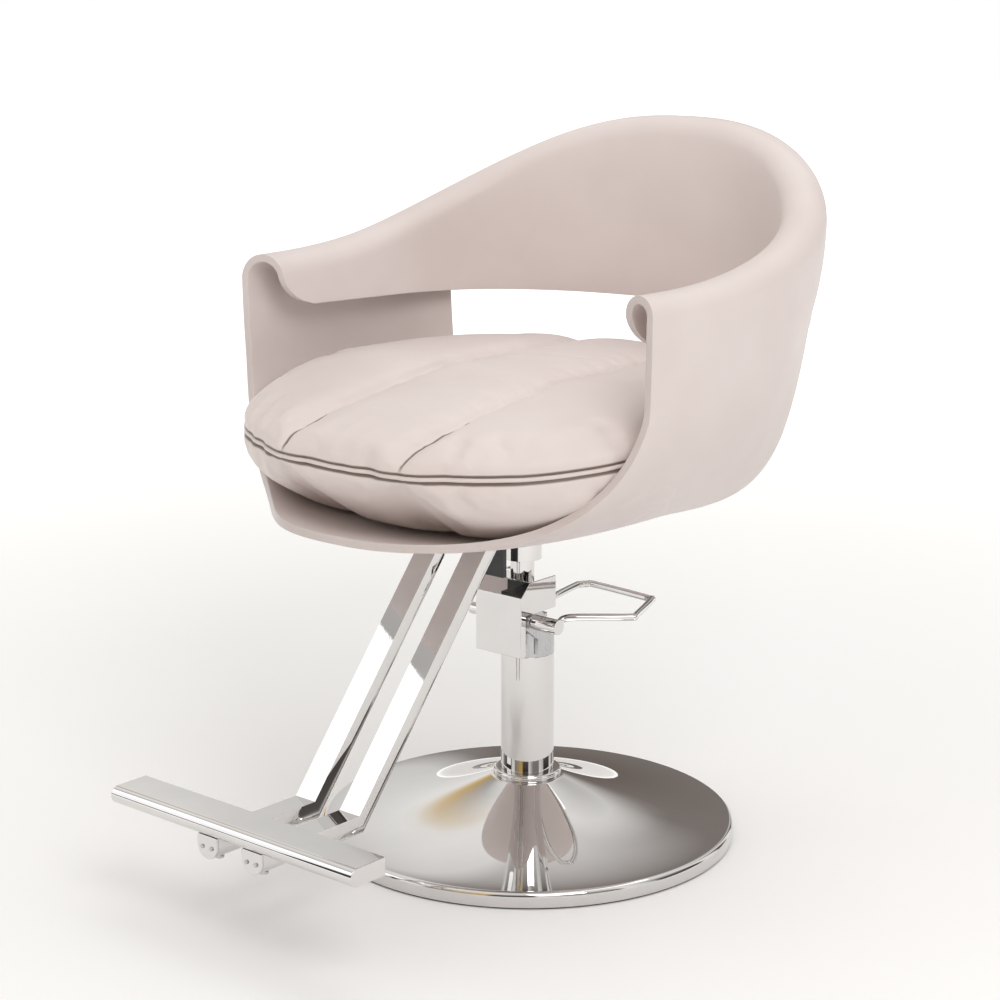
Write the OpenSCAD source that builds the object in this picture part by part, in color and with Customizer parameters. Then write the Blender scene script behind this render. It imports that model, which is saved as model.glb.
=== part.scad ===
// Hydraulic styling chair: round chromed base, pump column with a foot pedal,
// and a swivelling tub seat whose arms and back roll over at the top.
// Origin at the centre of the base on the floor, +Z up, the sitter faces -Y.

/* [Base] */
// Radius of the round base
base_r = 250; // [210:5:300]
// Thickness of the flat bottom plate
base_plate_t = 6; // [5:1:10]
// Height of the rolled rim of the base cover
base_rim_h = 20; // [16:1:26]
// Height at which the cover meets the column
base_dish_h = 72; // [60:1:90]
// Sheet thickness of the base cover
base_sheet = 2.5; // [1.5:0.5:4]

/* [Pump column] */
// Outer radius of the column
column_r = 32; // [30:1:38]
// Wall of the column tube
column_wall = 3; // [2:0.5:3.5]
// Distance from the top of the column up to the seat pan
pump_gap = 179; // [175:1:200]
// Radius of the ram
ram_r = 14.3; // [12:0.1:15]
// Wall of the pressure tube around the ram
tube_wall = 2.2; // [1.5:0.1:2.5]

/* [Pump head] */
// Gap between the column and the cheeks of the head cover
cover_gap = 1; // [0.5:0.5:8]
// Distance from the pedal shaft to the front of the head cover
cover_nose = 15; // [12:1:22]
// Height of the head cover, bottom edge to top edge
cover_h = 89; // [80:1:100]
// Sheet thickness of the head cover
cover_sheet = 2; // [1:0.5:3]

/* [Pedal] */
// Radius of the pedal shaft
shaft_r = 7; // [5:0.5:8]
// Radius of the boss on the end of the pedal shaft
boss_r = 9; // [8:0.5:12]
// Diameter of the pedal rod
pedal_rod_d = 8.6; // [6:0.2:10]
// How far the pedal reaches behind the shaft
pedal_reach = 164; // [120:1:175]

/* [Seat] */
// Half width of the seat shell at the arms
shell_half_w = 308; // [250:1:360]
// Distance from the swivel to the back of the shell
shell_back = 327; // [280:1:400]
// Height of the seat pan above the floor
pan_z = 405; // [395:1:490]
// Height of the arms above the seat pan
arm_h = 289; // [240:1:350]
// Height of the back above the arms
back_rise = 152; // [60:1:200]
// Thickness of the padded shell
shell_t = 9; // [6:0.5:12]
// Radius of the rolled top edge
roll_r = 26; // [18:0.5:34]
// Length of the flap that hangs inside the arms
flap_h = 66; // [45:1:90]

/* [Cushion] */
// Distance from the side of the cushion to the outside of the shell
cushion_side_gap = 22; // [20:1:60]
// Distance from the front of the cushion to the lip of the pan
cushion_front_gap = 22; // [15:1:60]
// Distance from the back of the cushion to the outside of the shell
cushion_rear_gap = 65; // [60:1:120]
// Height of the crown of the cushion above its underside
cushion_h = 156; // [125:1:190]

/* [Footrest] */
// Distance from the centre line to each tube
tube_x = 34; // [28:1:60]
// Width of the half-round tube
tube_w = 30; // [24:1:36]
// Depth of the half-round tube
tube_d = 26; // [20:1:32]
// Wall of the footrest tubes
tube_t = 2; // [1.5:0.5:3]
// Angle of the upper tubes from level
tube_angle = 50.7; // [45:0.1:60]
// Length of the foot bar
bar_len = 366; // [300:2:480]
// Height of the foot bar
bar_h = 20; // [16:1:26]
// Depth of the foot bar
bar_d = 50; // [40:1:60]
// Height of the top of the foot bar above the floor
bar_top = 147; // [120:1:180]
// Distance from the column's centre to the back of the foot bar
bar_back = 443; // [400:1:480]

/* [Hidden] */

run_gap = 0.06;                       // radial clearance of a shaft that turns or slides
big = 900;                            // larger than any piece, for cutting
chrome = [0.78, 0.77, 0.76];
steel = [0.62, 0.62, 0.63];
black = [0.08, 0.08, 0.09];
leather = [0.87, 0.82, 0.79];
brass = [0.72, 0.58, 0.32];

// ---- base ----
ring_w = 10.5;                         // width of the rubber edge ring
plate_r = base_r - base_sheet - ring_w;
flange_r = 84;
flange_t = 8;
flange_top = base_plate_t + flange_t;
socket_r = column_r + 5;
bolt_pcr = 62;                        // pitch radius of the base bolts
bolt_r = 4;
collar_h = 8;
column_in = column_r - column_wall;
column_top = pan_z - pump_gap;
foot_t = 10;

// ---- pump ----
bore_r = ram_r + 2;                   // inside radius of the pressure tube
tube_gap = 0.5;                       // the pressure tube stands this far off the front of the column's bore
ram_y = -(column_in - bore_r - tube_wall - tube_gap);
foot_top = base_plate_t + foot_t;
piston_z = foot_top + 0.5;
piston_h = 18;
ram_bottom = piston_z + piston_h;
head_h = 30;
head_top = column_top + head_h;
head_floor = column_top - 14;         // the skirt of the head reaches into the column
cover_z = column_top + 8;
cover_top = cover_z + cover_h;
cover_chamfer = 16;
cover_strip = 9;                      // width of the cheeks below the shaft
cover_back = 10;                      // how far the cheeks reach behind the column's centre
cover_half_w = column_r + cover_gap + cover_sheet;
shaft_gap = 0.7;                      // between the ram and the pedal shaft that crosses ahead of it
shaft_y = ram_y - ram_r - shaft_gap - shaft_r;
shaft_rise = 19;                      // height of the shaft above the head
shaft_z = head_top + shaft_rise;
cover_front = shaft_r - shaft_y + cover_nose;
screw_at = (column_r - 6.5) / sqrt(2);  // the head screws stand on a diagonal
cheek_z = shaft_z + shaft_r + 2;      // lower edge of the cheeks, just above the shaft
gland_h = 6;
gland_r = ram_r + 2.6;

// ---- plunger ----
plunger_r = 3.6;
cap_r = 6.2;
spring_pocket_r = cap_r + 0.7;
pocket_wall = 0.37;                   // metal left between the spring pocket and the gland
plunger_off = gland_r + pocket_wall + spring_pocket_r;
plunger_turn = 24.45;                 // direction of the plunger from the ram
plunger_x = plunger_off * cos(plunger_turn);
plunger_y = ram_y + plunger_off * sin(plunger_turn);
arm_rise = 8;                         // the pedal arm climbs this much on its way to the plunger
arm_z = shaft_z + arm_rise;
rod_r = pedal_rod_d / 2;
arm_gap = 1.8;                        // between the pedal's arm and the head of the plunger
plunger_top = arm_z - rod_r / cos(14) - arm_gap;
spring_seat = head_top - 14;          // pocket floor for the spring
cap_t = 4;
eye_gap = 1.7;                        // between the pedal's eye and the ear beside it
ear_w = cover_half_w - cover_sheet - plunger_x - rod_r - eye_gap;

// ---- seat ----
ram_top = pan_z - 16;
hub_r = 23;
hub_bottom = pan_z - 62;
plate_t = 8;
plate_half = 52;
bracket_bolt_p = 41;
web_bottom = pan_z - 74;
web_t = 6;
web_gap = 4;                          // between the web and the head cover behind it
web_front = -cover_front - web_gap - web_t;
web_half = 16;

// ---- footrest ----
tube_cap_y = -(bar_back + bar_d - 8);
lower_top = bar_top - bar_h;          // the flat tops of the lower tubes, under the bar
bend_z = lower_top;
front_plate_t = 6;
tube_end_z = pan_z - front_plate_t;
tube_top_y = ram_y - plate_half - 57.4;  // the flats of the upper tubes meet the bracket here
bend_y = tube_top_y - (tube_end_z - bend_z) / tan(tube_angle);

// =====================================================================
// Shell: one bowl surface. Its plan is a superellipse; a Bezier profile runs
// from the pan to the wall, then the wall, a half-round roll and a flap.
// =====================================================================
front_n = 2.5;                        // exponent of the plan ahead of the arms' middle
rear_n = 2.38;                        // and behind it
front_len = 520;                      // the plan runs on past the cut front edge
wall_front = 13.9;                    // plan angle at which the arm fronts are cut
front_share = 0.646;                  // share of the plan at which the pan's front lip is cut
front_power = 4.45;
rear_angle = 28.5;                    // plan angle of the back edge of the side walls
rear_lip = 0.66;                      // how far up the profile the pan rises at the back
joint_t = 0.50;                       // how far up the profile the side walls start
pan_flat = 0.33;
arm_z_top = pan_z + arm_h;
curl_cut = 36;                        // corner radius at the front of the flap
lean = 0.04;                          // the back leans out by this share of its plan

function smooth(t) = let (c = min(max(t, 0), 1)) c * c * (3 - 2 * c);
function lerp(a, b, t) = a + (b - a) * t;
function spow(v, p) = sign(v) * pow(abs(v), p);
// plan point at angle w: 0 = sitter's left, 90 = back, -90 = front
function plan(w) = let (n = sin(w) > 0 ? rear_n : front_n) [shell_half_w * spow(cos(w), 2 / n),
    (sin(w) > 0 ? shell_back / (1 + lean) : front_len) * spow(sin(w), 2 / n)];
function rearness(w) = let (p = plan(w)) smooth(p[1] / 200);
// Bezier control points [share of plan, height] of the profile at angle w
function ctrl(w) = let (k = rearness(w)) [
    [pan_flat, pan_z],
    [lerp(0.73, 0.82, k), pan_z],
    [lerp(0.955, 0.91, k), pan_z + lerp(68, 24, k)],
    [1, pan_z + lerp(165, 235, k)]];
function bez(c, t) = pow(1 - t, 3) * c[0] + 3 * pow(1 - t, 2) * t * c[1]
    + 3 * (1 - t) * t * t * c[2] + pow(t, 3) * c[3];
// profile parameter at which the share of the plan reaches s
function bez_at(c, s, lo = 0, hi = 1, i = 14) = i == 0 ? (lo + hi) / 2
    : let (m = (lo + hi) / 2) bez(c, m)[0] < s ? bez_at(c, s, m, hi, i - 1) : bez_at(c, s, lo, m, i - 1);
function rim_z(w) = let (y = plan(w)[1], t = max(0, (y + 160) / (shell_back / (1 + lean) + 160)))
    arm_z_top + back_rise * pow(t, 2.5);
function flap_z(w) = arm_z_top - flap_h - 0.025 * plan(w)[1];
function inward(w) = let (a = plan(w - 0.2), b = plan(w + 0.2), d = b - a) [-d[1], d[0]] / norm(d);
// point of the outer surface: row v is 0..1 on the bowl, 1..2 on the wall,
// 2..3 round the roll and 3..4 down the flap
function shell(w, v) = let (p = plan(w), c = ctrl(w), zc = rim_z(w) - roll_r, z3 = c[3][1],
        out = lerp(0.008, lean, rearness(w)))
    v <= 1 ? let (q = bez(c, max(v, 0))) [p[0] * q[0], p[1] * q[0], q[1]]
    : v <= 2 ? let (u = v - 1, s = 1 + out * (2 * u - u * u)) [p[0] * s, p[1] * s, lerp(z3, zc, u)]
    : let (n = inward(w), s = 1 + out, a = 180 * min(v - 2, 1), r = roll_r,
        z = v <= 3 ? zc + r * sin(a) : lerp(zc, flap_z(w), v - 3))
        [p[0] * s + n[0] * r * (1 - cos(a)), p[1] * s + n[1] * r * (1 - cos(a)), z];
function cross3(a, b) = [a[1] * b[2] - a[2] * b[1], a[2] * b[0] - a[0] * b[2], a[0] * b[1] - a[1] * b[0]];
function unit(a) = a / norm(a);
// the same point on the inner surface, one shell thickness away
function lining(w, v) = let (e = 0.01, du = shell(w + 0.2, v) - shell(w - 0.2, v),
        dv = shell(w, v + e) - shell(w, v - e), n = unit(cross3(du, dv)))
    shell(w, v) - shell_t * n;
// profile parameter of the cut front edge of the pan at plan angle -w
function front_t(w) = bez_at(ctrl(-w), front_share
    + (1 - front_share) * pow((90 - w) / (90 - wall_front), front_power));
// plan angle of the cut edge at profile parameter t, found by halving
function edge_w(t, lo = wall_front, hi = 89, i = 12) = i == 0 ? (lo + hi) / 2
    : let (m = (lo + hi) / 2) front_t(m) > t ? edge_w(t, m, hi, i - 1) : edge_w(t, lo, m, i - 1);
// the rolled part is cut back a little, with a rounded lower corner
function roll_edge(v) = v <= 2 ? wall_front : v <= 3 ? wall_front - 1.6 * (v - 2)
    : let (e = max((4 - v) * (flap_h - roll_r), 0.5), r = curl_cut)
        wall_front - 1.6 - 1.6 * (v - 3) - (e < r ? (r - sqrt(r * r - pow(r - e, 2))) * 0.13 : 0);
function front_edge(v) = v < 1 ? edge_w(v) : roll_edge(v);

// closed sheet between two grids of points, outer g and inner h
module sheet(g, h) {
    m = len(g);
    n = len(g[0]);
    pts = [for (row = g) each row, for (row = h) each row];
    o = m * n;
    faces = [
        for (i = [0:m - 2], j = [0:n - 2]) each [
            [i * n + j, (i + 1) * n + j, (i + 1) * n + j + 1], [i * n + j, (i + 1) * n + j + 1,
                i * n + j + 1],
            [o + i * n + j, o + (i + 1) * n + j + 1, o + (i + 1) * n + j],
            [o + i * n + j, o + i * n + j + 1, o + (i + 1) * n + j + 1]],
        for (j = [0:n - 2]) each [
            [j, j + 1, o + j + 1], [j, o + j + 1, o + j],
            [(m - 1) * n + j, o + (m - 1) * n + j + 1, (m - 1) * n + j + 1],
            [(m - 1) * n + j, o + (m - 1) * n + j, o + (m - 1) * n + j + 1]],
        for (i = [0:m - 2]) each [
            [i * n, o + i * n, o + (i + 1) * n], [i * n, o + (i + 1) * n, (i + 1) * n],
            [i * n + n - 1, (i + 1) * n + n - 1, o + (i + 1) * n + n - 1],
            [i * n + n - 1, o + (i + 1) * n + n - 1, o + i * n + n - 1]]];
    polyhedron(pts, faces, convexity = 10);
}
side_cols = 14;
seam_t = 0.001;                       // the panels stand this little off their neighbours
side_rows = [joint_t + seam_t, for (t = [1:5]) lerp(joint_t, 1, t / 5), 1.34, 1.67, for (t = [0:8]) 2 + t / 8,
    3.25, 3.5, 3.7, 3.85, 3.95, 4];
function side_w(v, k) = lerp(-front_edge(v), rear_angle, k / side_cols);
module side_panel() {
    sheet([for (v = side_rows) [for (k = [0:side_cols]) shell(side_w(v, k), v)]],
        [for (v = side_rows) [for (k = [0:side_cols]) lining(side_w(v, k), v)]]);
}
// closed body from a stack of closed rings with a pole at each end
module ring_body(rings, pole_a, pole_b) {
    n = len(rings[0]);
    m = len(rings);
    pts = [pole_a, for (r = rings) each r, pole_b];
    last = len(pts) - 1;
    faces = [
        for (j = [0:n - 1]) [0, 1 + (j + 1) % n, 1 + j],
        for (i = [0:m - 2], j = [0:n - 1]) let (a = 1 + i * n + j, b = 1 + i * n + (j + 1) % n)
            each [[a, b, b + n], [a, b + n, a + n]],
        for (j = [0:n - 1]) [last, 1 + (m - 1) * n + j, 1 + (m - 1) * n + (j + 1) % n]];
    polyhedron(pts, faces, convexity = 10);
}
// body through a row of closed sections, capped at both ends
module section_body(secs) {
    n = len(secs[0]);
    m = len(secs);
    pts = [for (s = secs) each s];
    faces = [
        for (i = [0:m - 2], j = [0:n - 1]) let (a = i * n + j, b = i * n + (j + 1) % n)
            each [[a, b, b + n], [a, b + n, a + n]],
        for (j = [1:n - 2]) [0, j + 1, j],
        for (j = [1:n - 2]) let (o = (m - 1) * n) [o, o + j, o + j + 1]];
    polyhedron(pts, faces, convexity = 10);
}
function mirror_ring(half) = concat(half, [for (i = [len(half) - 2:-1:1]) [-half[i][0], half[i][1],
    half[i][2]]]);

// columns of the pan from the middle of its front lip to the middle of its back
pan_ws = [for (i = [0:9]) lerp(-90, side_w(joint_t, 0), pow(i / 10, 0.8)),
    for (k = [0:side_cols]) side_w(joint_t, k),
    for (i = [0:6]) lerp(rear_angle + 2, 90, i / 6)];
function pan_t(w) = w > rear_angle + 1 ? rear_lip : w < side_w(joint_t, 0) ? front_t(-w) : joint_t;
function pan_at(w, s) = s < 0.3 ? let (p = plan(w) * pan_flat * s / 0.3) [p[0], p[1], pan_z]
    : shell(w, pan_t(w) * (s - 0.3) / 0.7);
function pan_lining(w, s) = s <= 0.3 ? pan_at(w, s) + [0, 0, shell_t] : lining(w, pan_t(w) * (s - 0.3) / 0.7);
pan_rows = [0.15, 0.3, 0.44, 0.58, 0.72, 0.86, 1];
module seat_pan() {
    color(leather) ring_body(concat(
        [for (s = pan_rows) mirror_ring([for (w = pan_ws) pan_at(w, s)])],
        [for (i = [len(pan_rows) - 1:-1:0]) mirror_ring([for (w = pan_ws) pan_lining(w, pan_rows[i])])]),
        [0, 0, pan_z], [0, 0, pan_z + shell_t]);
}
module left_side_panel() {
    color(leather) side_panel();
}
module right_side_panel() {
    color(leather) mirror([1, 0, 0]) side_panel();
}
// profile parameter at which the outer sheet comes down to the flap's lower edge
function band_low(w, lo = 0.5, hi = 2, i = 14) = i == 0 ? (lo + hi) / 2
    : let (m = (lo + hi) / 2) shell(w, m)[2] < flap_z(w) ? band_low(w, m, hi, i - 1) : band_low(w, lo,
        m, i - 1);
band_cols = 18;
band_rows = [1.34, 1.67, for (t = [0:8]) 2 + t / 8, 3.25, 3.5, 3.7, 3.85, 4];
band_start = rear_angle + 0.05;
function band_w(k) = lerp(band_start, 180 - band_start, k / band_cols);
function band_v(w) = concat([band_low(w), lerp(band_low(w), 1.34, 0.5)], band_rows);
module back_band() {
    color(leather) sheet([for (i = [0:len(band_rows) + 1]) [for (k = [0:band_cols]) shell(band_w(k),
        band_v(band_w(k))[i])]],
        [for (i = [0:len(band_rows) + 1]) [for (k = [0:band_cols]) lining(band_w(k), band_v(band_w(k))[i])]]);
}
module back_core() {
    color([0.8, 0.78, 0.6]) section_body([for (k = [0:band_cols])
        [for (v = band_v(band_w(k))) lining(band_w(k), v)]]);
}
module cushion_board() {
    color([0.72, 0.58, 0.42]) translate([0, 0, pan_z + shell_t]) cylinder(r = board_r, h = board_t, $fn = 64);
}
board_r = 0.93 * pan_flat * shell_half_w;
board_t = 8;
cushion_half_w = shell_half_w - cushion_side_gap;
cushion_front = front_share * front_len - cushion_front_gap;
cushion_back = shell_back - cushion_rear_gap;
seam_h = 106;                         // height of the cushion's seam above its underside
cushion_y = -58;
cushion_n = 2.4;
cushion_slope = 0.25;                 // the cushion is this much lower at its front
cushion_z = pan_z + shell_t + board_t;
function cushion_pt(a, s, h) = let (
        b = sin(a) > 0 ? cushion_back - cushion_y : cushion_front + cushion_y + 6,
        x = cushion_half_w * s * spow(cos(a), 2 / cushion_n),
        y = b * s * spow(sin(a), 2 / cushion_n),
        k = 1 + cushion_slope * (y < 0 ? y / b : 0.1 * y / b))
    [x, cushion_y + y, cushion_z + k * (h < 1 ? h * seam_h : lerp(seam_h, cushion_h, h - 1))];
// [share of the plan, height]: 0 is the underside, 1 the seam and 2 the crown
cushion_rows = [[0.3, 0], [0.50, 0.03], [0.67, 0.19], [0.80, 0.43], [0.915, 0.69], [1, 1], [0.985, 1.34],
    [0.93, 1.63], [0.82, 1.81], [0.62, 1.94], [0.35, 2]];
module cushion() {
    color(leather) ring_body([for (q = cushion_rows) [for (a = [0:10:350]) cushion_pt(a, q[0], q[1])]],
        [0, cushion_y, cushion_z], [0, cushion_y, cushion_z + cushion_h]);
}

// ---- base ----
module base_plate() {
    color(steel) difference() {
        cylinder(r = plate_r, h = base_plate_t, $fn = 96);
        for (a = [30:60:330]) rotate(a) translate([bolt_pcr, 0, 1.5])
            cylinder(r = bolt_r + 0.1, h = big, $fn = 24);
    }
}
module base_edge_ring() {
    color(black) rotate_extrude($fn = 96) polygon([[plate_r, 0], [plate_r + ring_w, 0],
        [plate_r + ring_w, base_plate_t - 1], [plate_r, base_plate_t]]);
}
// the dish rises like a trumpet towards the column
collar_out = column_r + 9;
dish_steps = 16;
rim_round = 6;
dish_r = [for (i = [0:dish_steps]) lerp(collar_out, base_r - rim_round, i / dish_steps)];
function dish_z(r) = base_rim_h + (base_dish_h - base_rim_h)
    * pow((base_r - rim_round - r) / (base_r - rim_round - collar_out), 1.75);
module base_cover() {
    rim = [for (a = [75:-15:0]) [base_r - rim_round + rim_round * cos(a),
        base_rim_h - rim_round + rim_round * sin(a)]];
    color(chrome) rotate_extrude($fn = 128) polygon(concat(
        [[column_r + 0.3, base_dish_h]], [for (r = dish_r) [r, dish_z(r)]], rim,
        [[base_r, 2], [base_r - base_sheet, 2], [base_r - base_sheet, base_rim_h - rim_round - base_sheet]],
        [for (i = [dish_steps:-1:0]) [dish_r[i], dish_z(dish_r[i]) - base_sheet]],
        [[column_r + 0.3, base_dish_h - base_sheet]]));
}
module base_flange() {
    color(steel) difference() {
        union() {
            translate([0, 0, base_plate_t]) cylinder(r = flange_r, h = flange_t, $fn = 64);
            translate([0, 0, base_plate_t]) cylinder(r = socket_r, h = 44, $fn = 64);
        }
        translate([0, 0, -1]) cylinder(r = column_r + 0.05, h = big, $fn = 64);
        for (a = [30:60:330]) rotate(a) translate([bolt_pcr, 0, 0])
            cylinder(r = bolt_r + 0.1, h = big, $fn = 24);
    }
}
module base_bolts() {
    color(steel) for (a = [30:60:330]) rotate(a) translate([bolt_pcr, 0, 0]) {
        translate([0, 0, 2]) cylinder(r = bolt_r, h = flange_top - 2, $fn = 24);
        translate([0, 0, flange_top]) cylinder(r = 7.5, h = 5.5, $fn = 6);
    }
}
module column_collar() {
    color(chrome) rotate_extrude($fn = 64) polygon([[column_r + 0.05, base_dish_h], [collar_out, base_dish_h],
        [collar_out, base_dish_h + collar_h - 3], [collar_out - 3, base_dish_h + collar_h],
        [column_r + 0.05, base_dish_h + collar_h]]);
}

// ---- pump ----
module column_tube() {
    color(chrome) translate([0, 0, base_plate_t]) difference() {
        cylinder(r = column_r, h = column_top - base_plate_t, $fn = 96);
        translate([0, 0, -1]) cylinder(r = column_in, h = big, $fn = 96);
    }
}
module pump_foot_valve() {
    color(steel) translate([0, 0, base_plate_t]) difference() {
        cylinder(r = column_in - 0.05, h = foot_t, $fn = 64);
        translate([plunger_x, plunger_y, foot_t - 4]) cylinder(r = 2.5, h = big, $fn = 24);
    }
}
module pressure_tube() {
    color(steel) translate([0, ram_y, foot_top]) difference() {
        cylinder(r = bore_r + tube_wall, h = head_floor - foot_top, $fn = 64);
        translate([0, 0, -1]) cylinder(r = bore_r, h = big, $fn = 64);
    }
}
// casting that closes the column, guides ram and plunger and carries the pedal shaft
module pump_head() {
    color(steel) difference() {
        union() {
            translate([0, 0, head_floor])
                cylinder(r = column_in - 0.05, h = column_top - head_floor, $fn = 64);
            translate([0, 0, column_top]) cylinder(r = column_r, h = head_h, $fn = 64);
            for (s = [-1, 1]) translate([s * (cover_half_w - cover_sheet - ear_w / 2) - ear_w / 2, 0, 0])
                rotate([90, 0, 90]) linear_extrude(ear_w) ear_side();
        }
        translate([0, ram_y, 0]) cylinder(r = ram_r + run_gap, h = big, $fn = 64);
        translate([0, ram_y, head_top - gland_h]) cylinder(r = gland_r + 0.05, h = big, $fn = 64);
        translate([plunger_x, plunger_y, 0]) cylinder(r = plunger_r + run_gap, h = big, $fn = 32);
        translate([plunger_x, plunger_y, spring_seat]) cylinder(r = spring_pocket_r, h = big, $fn = 32);
        translate([-big / 2, shaft_y, shaft_z]) rotate([0, 90, 0])
            cylinder(r = shaft_r + run_gap, h = big, $fn = 48);
        for (s = [-1, 1]) translate([s * screw_at, screw_at, head_top - 12])
            cylinder(r = 2.6, h = big, $fn = 24);
    }
}
// side view of one ear: a foot beside the column and an eye round the shaft
module ear_side() {
    polygon([[shaft_y + 12, column_top + 4], [4, column_top + 4], [4, head_top + 6],
        [shaft_y + 18, shaft_z + 10], [shaft_y - 10, shaft_z + 10], [shaft_y - 10, shaft_z - 9],
        [shaft_y + 12, shaft_z - 25]]);
}
module head_screws() {
    color(steel) for (s = [-1, 1]) translate([s * screw_at, screw_at, head_top - 12]) {
        cylinder(r = 2.5, h = 12, $fn = 24);
        translate([0, 0, 12]) cylinder(r = 4.5, h = 4, $fn = 24);
    }
}
module ram_gland() {
    color(brass) translate([0, ram_y, head_top - gland_h]) difference() {
        union() {
            cylinder(r = gland_r, h = gland_h, $fn = 64);
            translate([0, 0, gland_h]) cylinder(r = gland_r - 0.8, h = 3, $fn = 64);
        }
        translate([0, 0, -1]) cylinder(r = ram_r + run_gap, h = big, $fn = 64);
    }
}
// folded cover: front, sloping brow and two cheeks notched over the shaft, open above and behind
module head_cover() {
    brow = cover_sheet * sqrt(2);
    color(chrome) difference() {
        translate([-cover_half_w, 0, 0]) rotate([90, 0, 90]) linear_extrude(2 * cover_half_w)
            polygon([[-cover_front, cover_z], [cover_back, cover_z], [cover_back, cover_top],
                [cover_chamfer - cover_front, cover_top], [-cover_front, cover_top - cover_chamfer]]);
        translate([cover_sheet - cover_half_w, 0, 0]) rotate([90, 0, 90])
            linear_extrude(2 * (cover_half_w - cover_sheet))
            polygon([[cover_sheet - cover_front, cover_z - 1], [cover_back + 1, cover_z - 1],
                [cover_back + 1, cover_top + 1], [cover_chamfer - cover_front + 1 + brow, cover_top + 1],
                [cover_sheet - cover_front, cover_top - cover_chamfer + cover_sheet - brow]]);
        translate([-big / 2, cover_strip - cover_front, cover_z - 1])
            cube([big, big, cheek_z - cover_z + 1]);
    }
}

// ---- plunger and pedal ----
module plunger() {
    color(steel) translate([plunger_x, plunger_y, 0]) {
        translate([0, 0, head_floor - 26])
            cylinder(r = plunger_r, h = plunger_top - head_floor + 26, $fn = 32);
        translate([0, 0, plunger_top - cap_t]) cylinder(r = cap_r, h = cap_t, $fn = 32);
    }
}
spring_turns = 5;
spring_wire = 1.2;
spring_r = 5.2;
spring_sides = 6;
spring_steps = 12;
function spring_at(i) = let (a = 360 * i / spring_steps,
        z = lerp(spring_seat + spring_wire / 2, plunger_top - cap_t - spring_wire / 2,
            i / (spring_turns * spring_steps)))
    [for (j = [0:spring_sides - 1]) let (b = 360 * j / spring_sides, r = spring_r + spring_wire / 2 * cos(b))
        [plunger_x + r * cos(a), plunger_y + r * sin(a), z + spring_wire / 2 * sin(b)]];
module plunger_spring() {
    color(steel) section_body([for (i = [0:spring_turns * spring_steps]) spring_at(i)]);
}
shaft_left = -cover_half_w - 25;
shaft_right = cover_half_w + 37;
module pedal_shaft() {
    color(chrome) translate([shaft_left, shaft_y, shaft_z]) rotate([0, 90, 0])
        cylinder(r = shaft_r, h = shaft_right - shaft_left, $fn = 48);
}
module shaft_clip() {
    color(steel) translate([-cover_half_w - 3, shaft_y, shaft_z]) rotate([0, 90, 0]) difference() {
        cylinder(r = shaft_r + 2.5, h = 1.5, $fn = 48);
        translate([0, 0, -1]) cylinder(r = shaft_r, h = 5, $fn = 48);
    }
}
module pedal_boss() {
    color(chrome) difference() {
        translate([cover_half_w + 1.5, shaft_y, shaft_z]) rotate([0, 90, 0])
            cylinder(r = boss_r, h = shaft_right + 2 - cover_half_w - 1.5, $fn = 48);
        translate([0, shaft_y, shaft_z]) rotate([0, 90, 0]) cylinder(r = shaft_r, h = shaft_right, $fn = 48);
        translate([grub_x, shaft_y, shaft_z]) rotate([grub_tilt, 0, 0]) cylinder(r = 2.1, h = big, $fn = 24);
    }
}
grub_x = 52;
grub_tilt = 25;
module boss_grub_screw() {
    color(steel) translate([grub_x, shaft_y, shaft_z]) rotate([grub_tilt, 0, 0])
        translate([0, 0, shaft_r + 0.05])
        cylinder(r = 2.05, h = boss_r - shaft_r + 0.4, $fn = 24);
}
// centre line of the pedal rod, from the boss round the tread and back to the shaft:
// [distance from the centre plane, distance behind the shaft, height above the shaft]
reach = pedal_reach;
arm_run = plunger_y - shaft_y;
pedal_route = [[shaft_right - 4, boss_r - 1, 3], [shaft_right - 2, 14, 7], [shaft_right + 10, 24, 9],
    [128, reach - 98, 8.5], [127, reach - 86, 8], [95, reach - 14, 5], [84, reach - 8, 5],
    [0, reach, 5], [-10, reach - 4, 5], [-15, reach - 14, 5.5], [-14, reach - 25, 6],
    [2, 80, 8], [plunger_x - 5, arm_run + 20, arm_rise + 1], [plunger_x, arm_run + 8, arm_rise + 0.5],
    [plunger_x, arm_run, arm_rise], [plunger_x, boss_r - 1, (boss_r - 1) * arm_rise / arm_run]];
pedal_pts = [for (p = pedal_route) [p[0], shaft_y + p[1], shaft_z + p[2]]];
// point at share t of the stretch that starts at point i of a route, on a smooth curve through all of it
function spline(p, i, t) = let (a = p[max(i - 1, 0)], b = p[i], c = p[i + 1], d = p[min(i + 2, len(p) - 1)])
    0.5 * (2 * b + (c - a) * t + (2 * a - 5 * b + 4 * c - d) * t * t + (3 * b - a - 3 * c + d) * t * t * t);
pedal_line = [for (i = [0:len(pedal_pts) - 2], t = [0:2]) spline(pedal_pts, i, t / 3),
    pedal_pts[len(pedal_pts) - 1]];
rod_sides = 10;
function rod_ring(p, i) = let (m = len(p), d = unit(p[min(i + 1, m - 1)] - p[max(i - 1, 0)]),
        side = unit(cross3(d, [0, 0, 1])), up = cross3(side, d))
    [for (j = [0:rod_sides - 1]) let (a = 360 * j / rod_sides) p[i] + rod_r * (cos(a) * side + sin(a) * up)];
module pedal_loop() {
    color(chrome) section_body([for (i = [0:len(pedal_line) - 1]) rod_ring(pedal_line, i)]);
}
// forged eye where the inner arm of the pedal meets the shaft
module pedal_eye() {
    color(chrome) translate([plunger_x - rod_r, shaft_y, shaft_z]) rotate([0, 90, 0]) difference() {
        cylinder(r = boss_r, h = 2 * rod_r, $fn = 48);
        translate([0, 0, -1]) cylinder(r = shaft_r, h = big, $fn = 48);
    }
}

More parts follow.
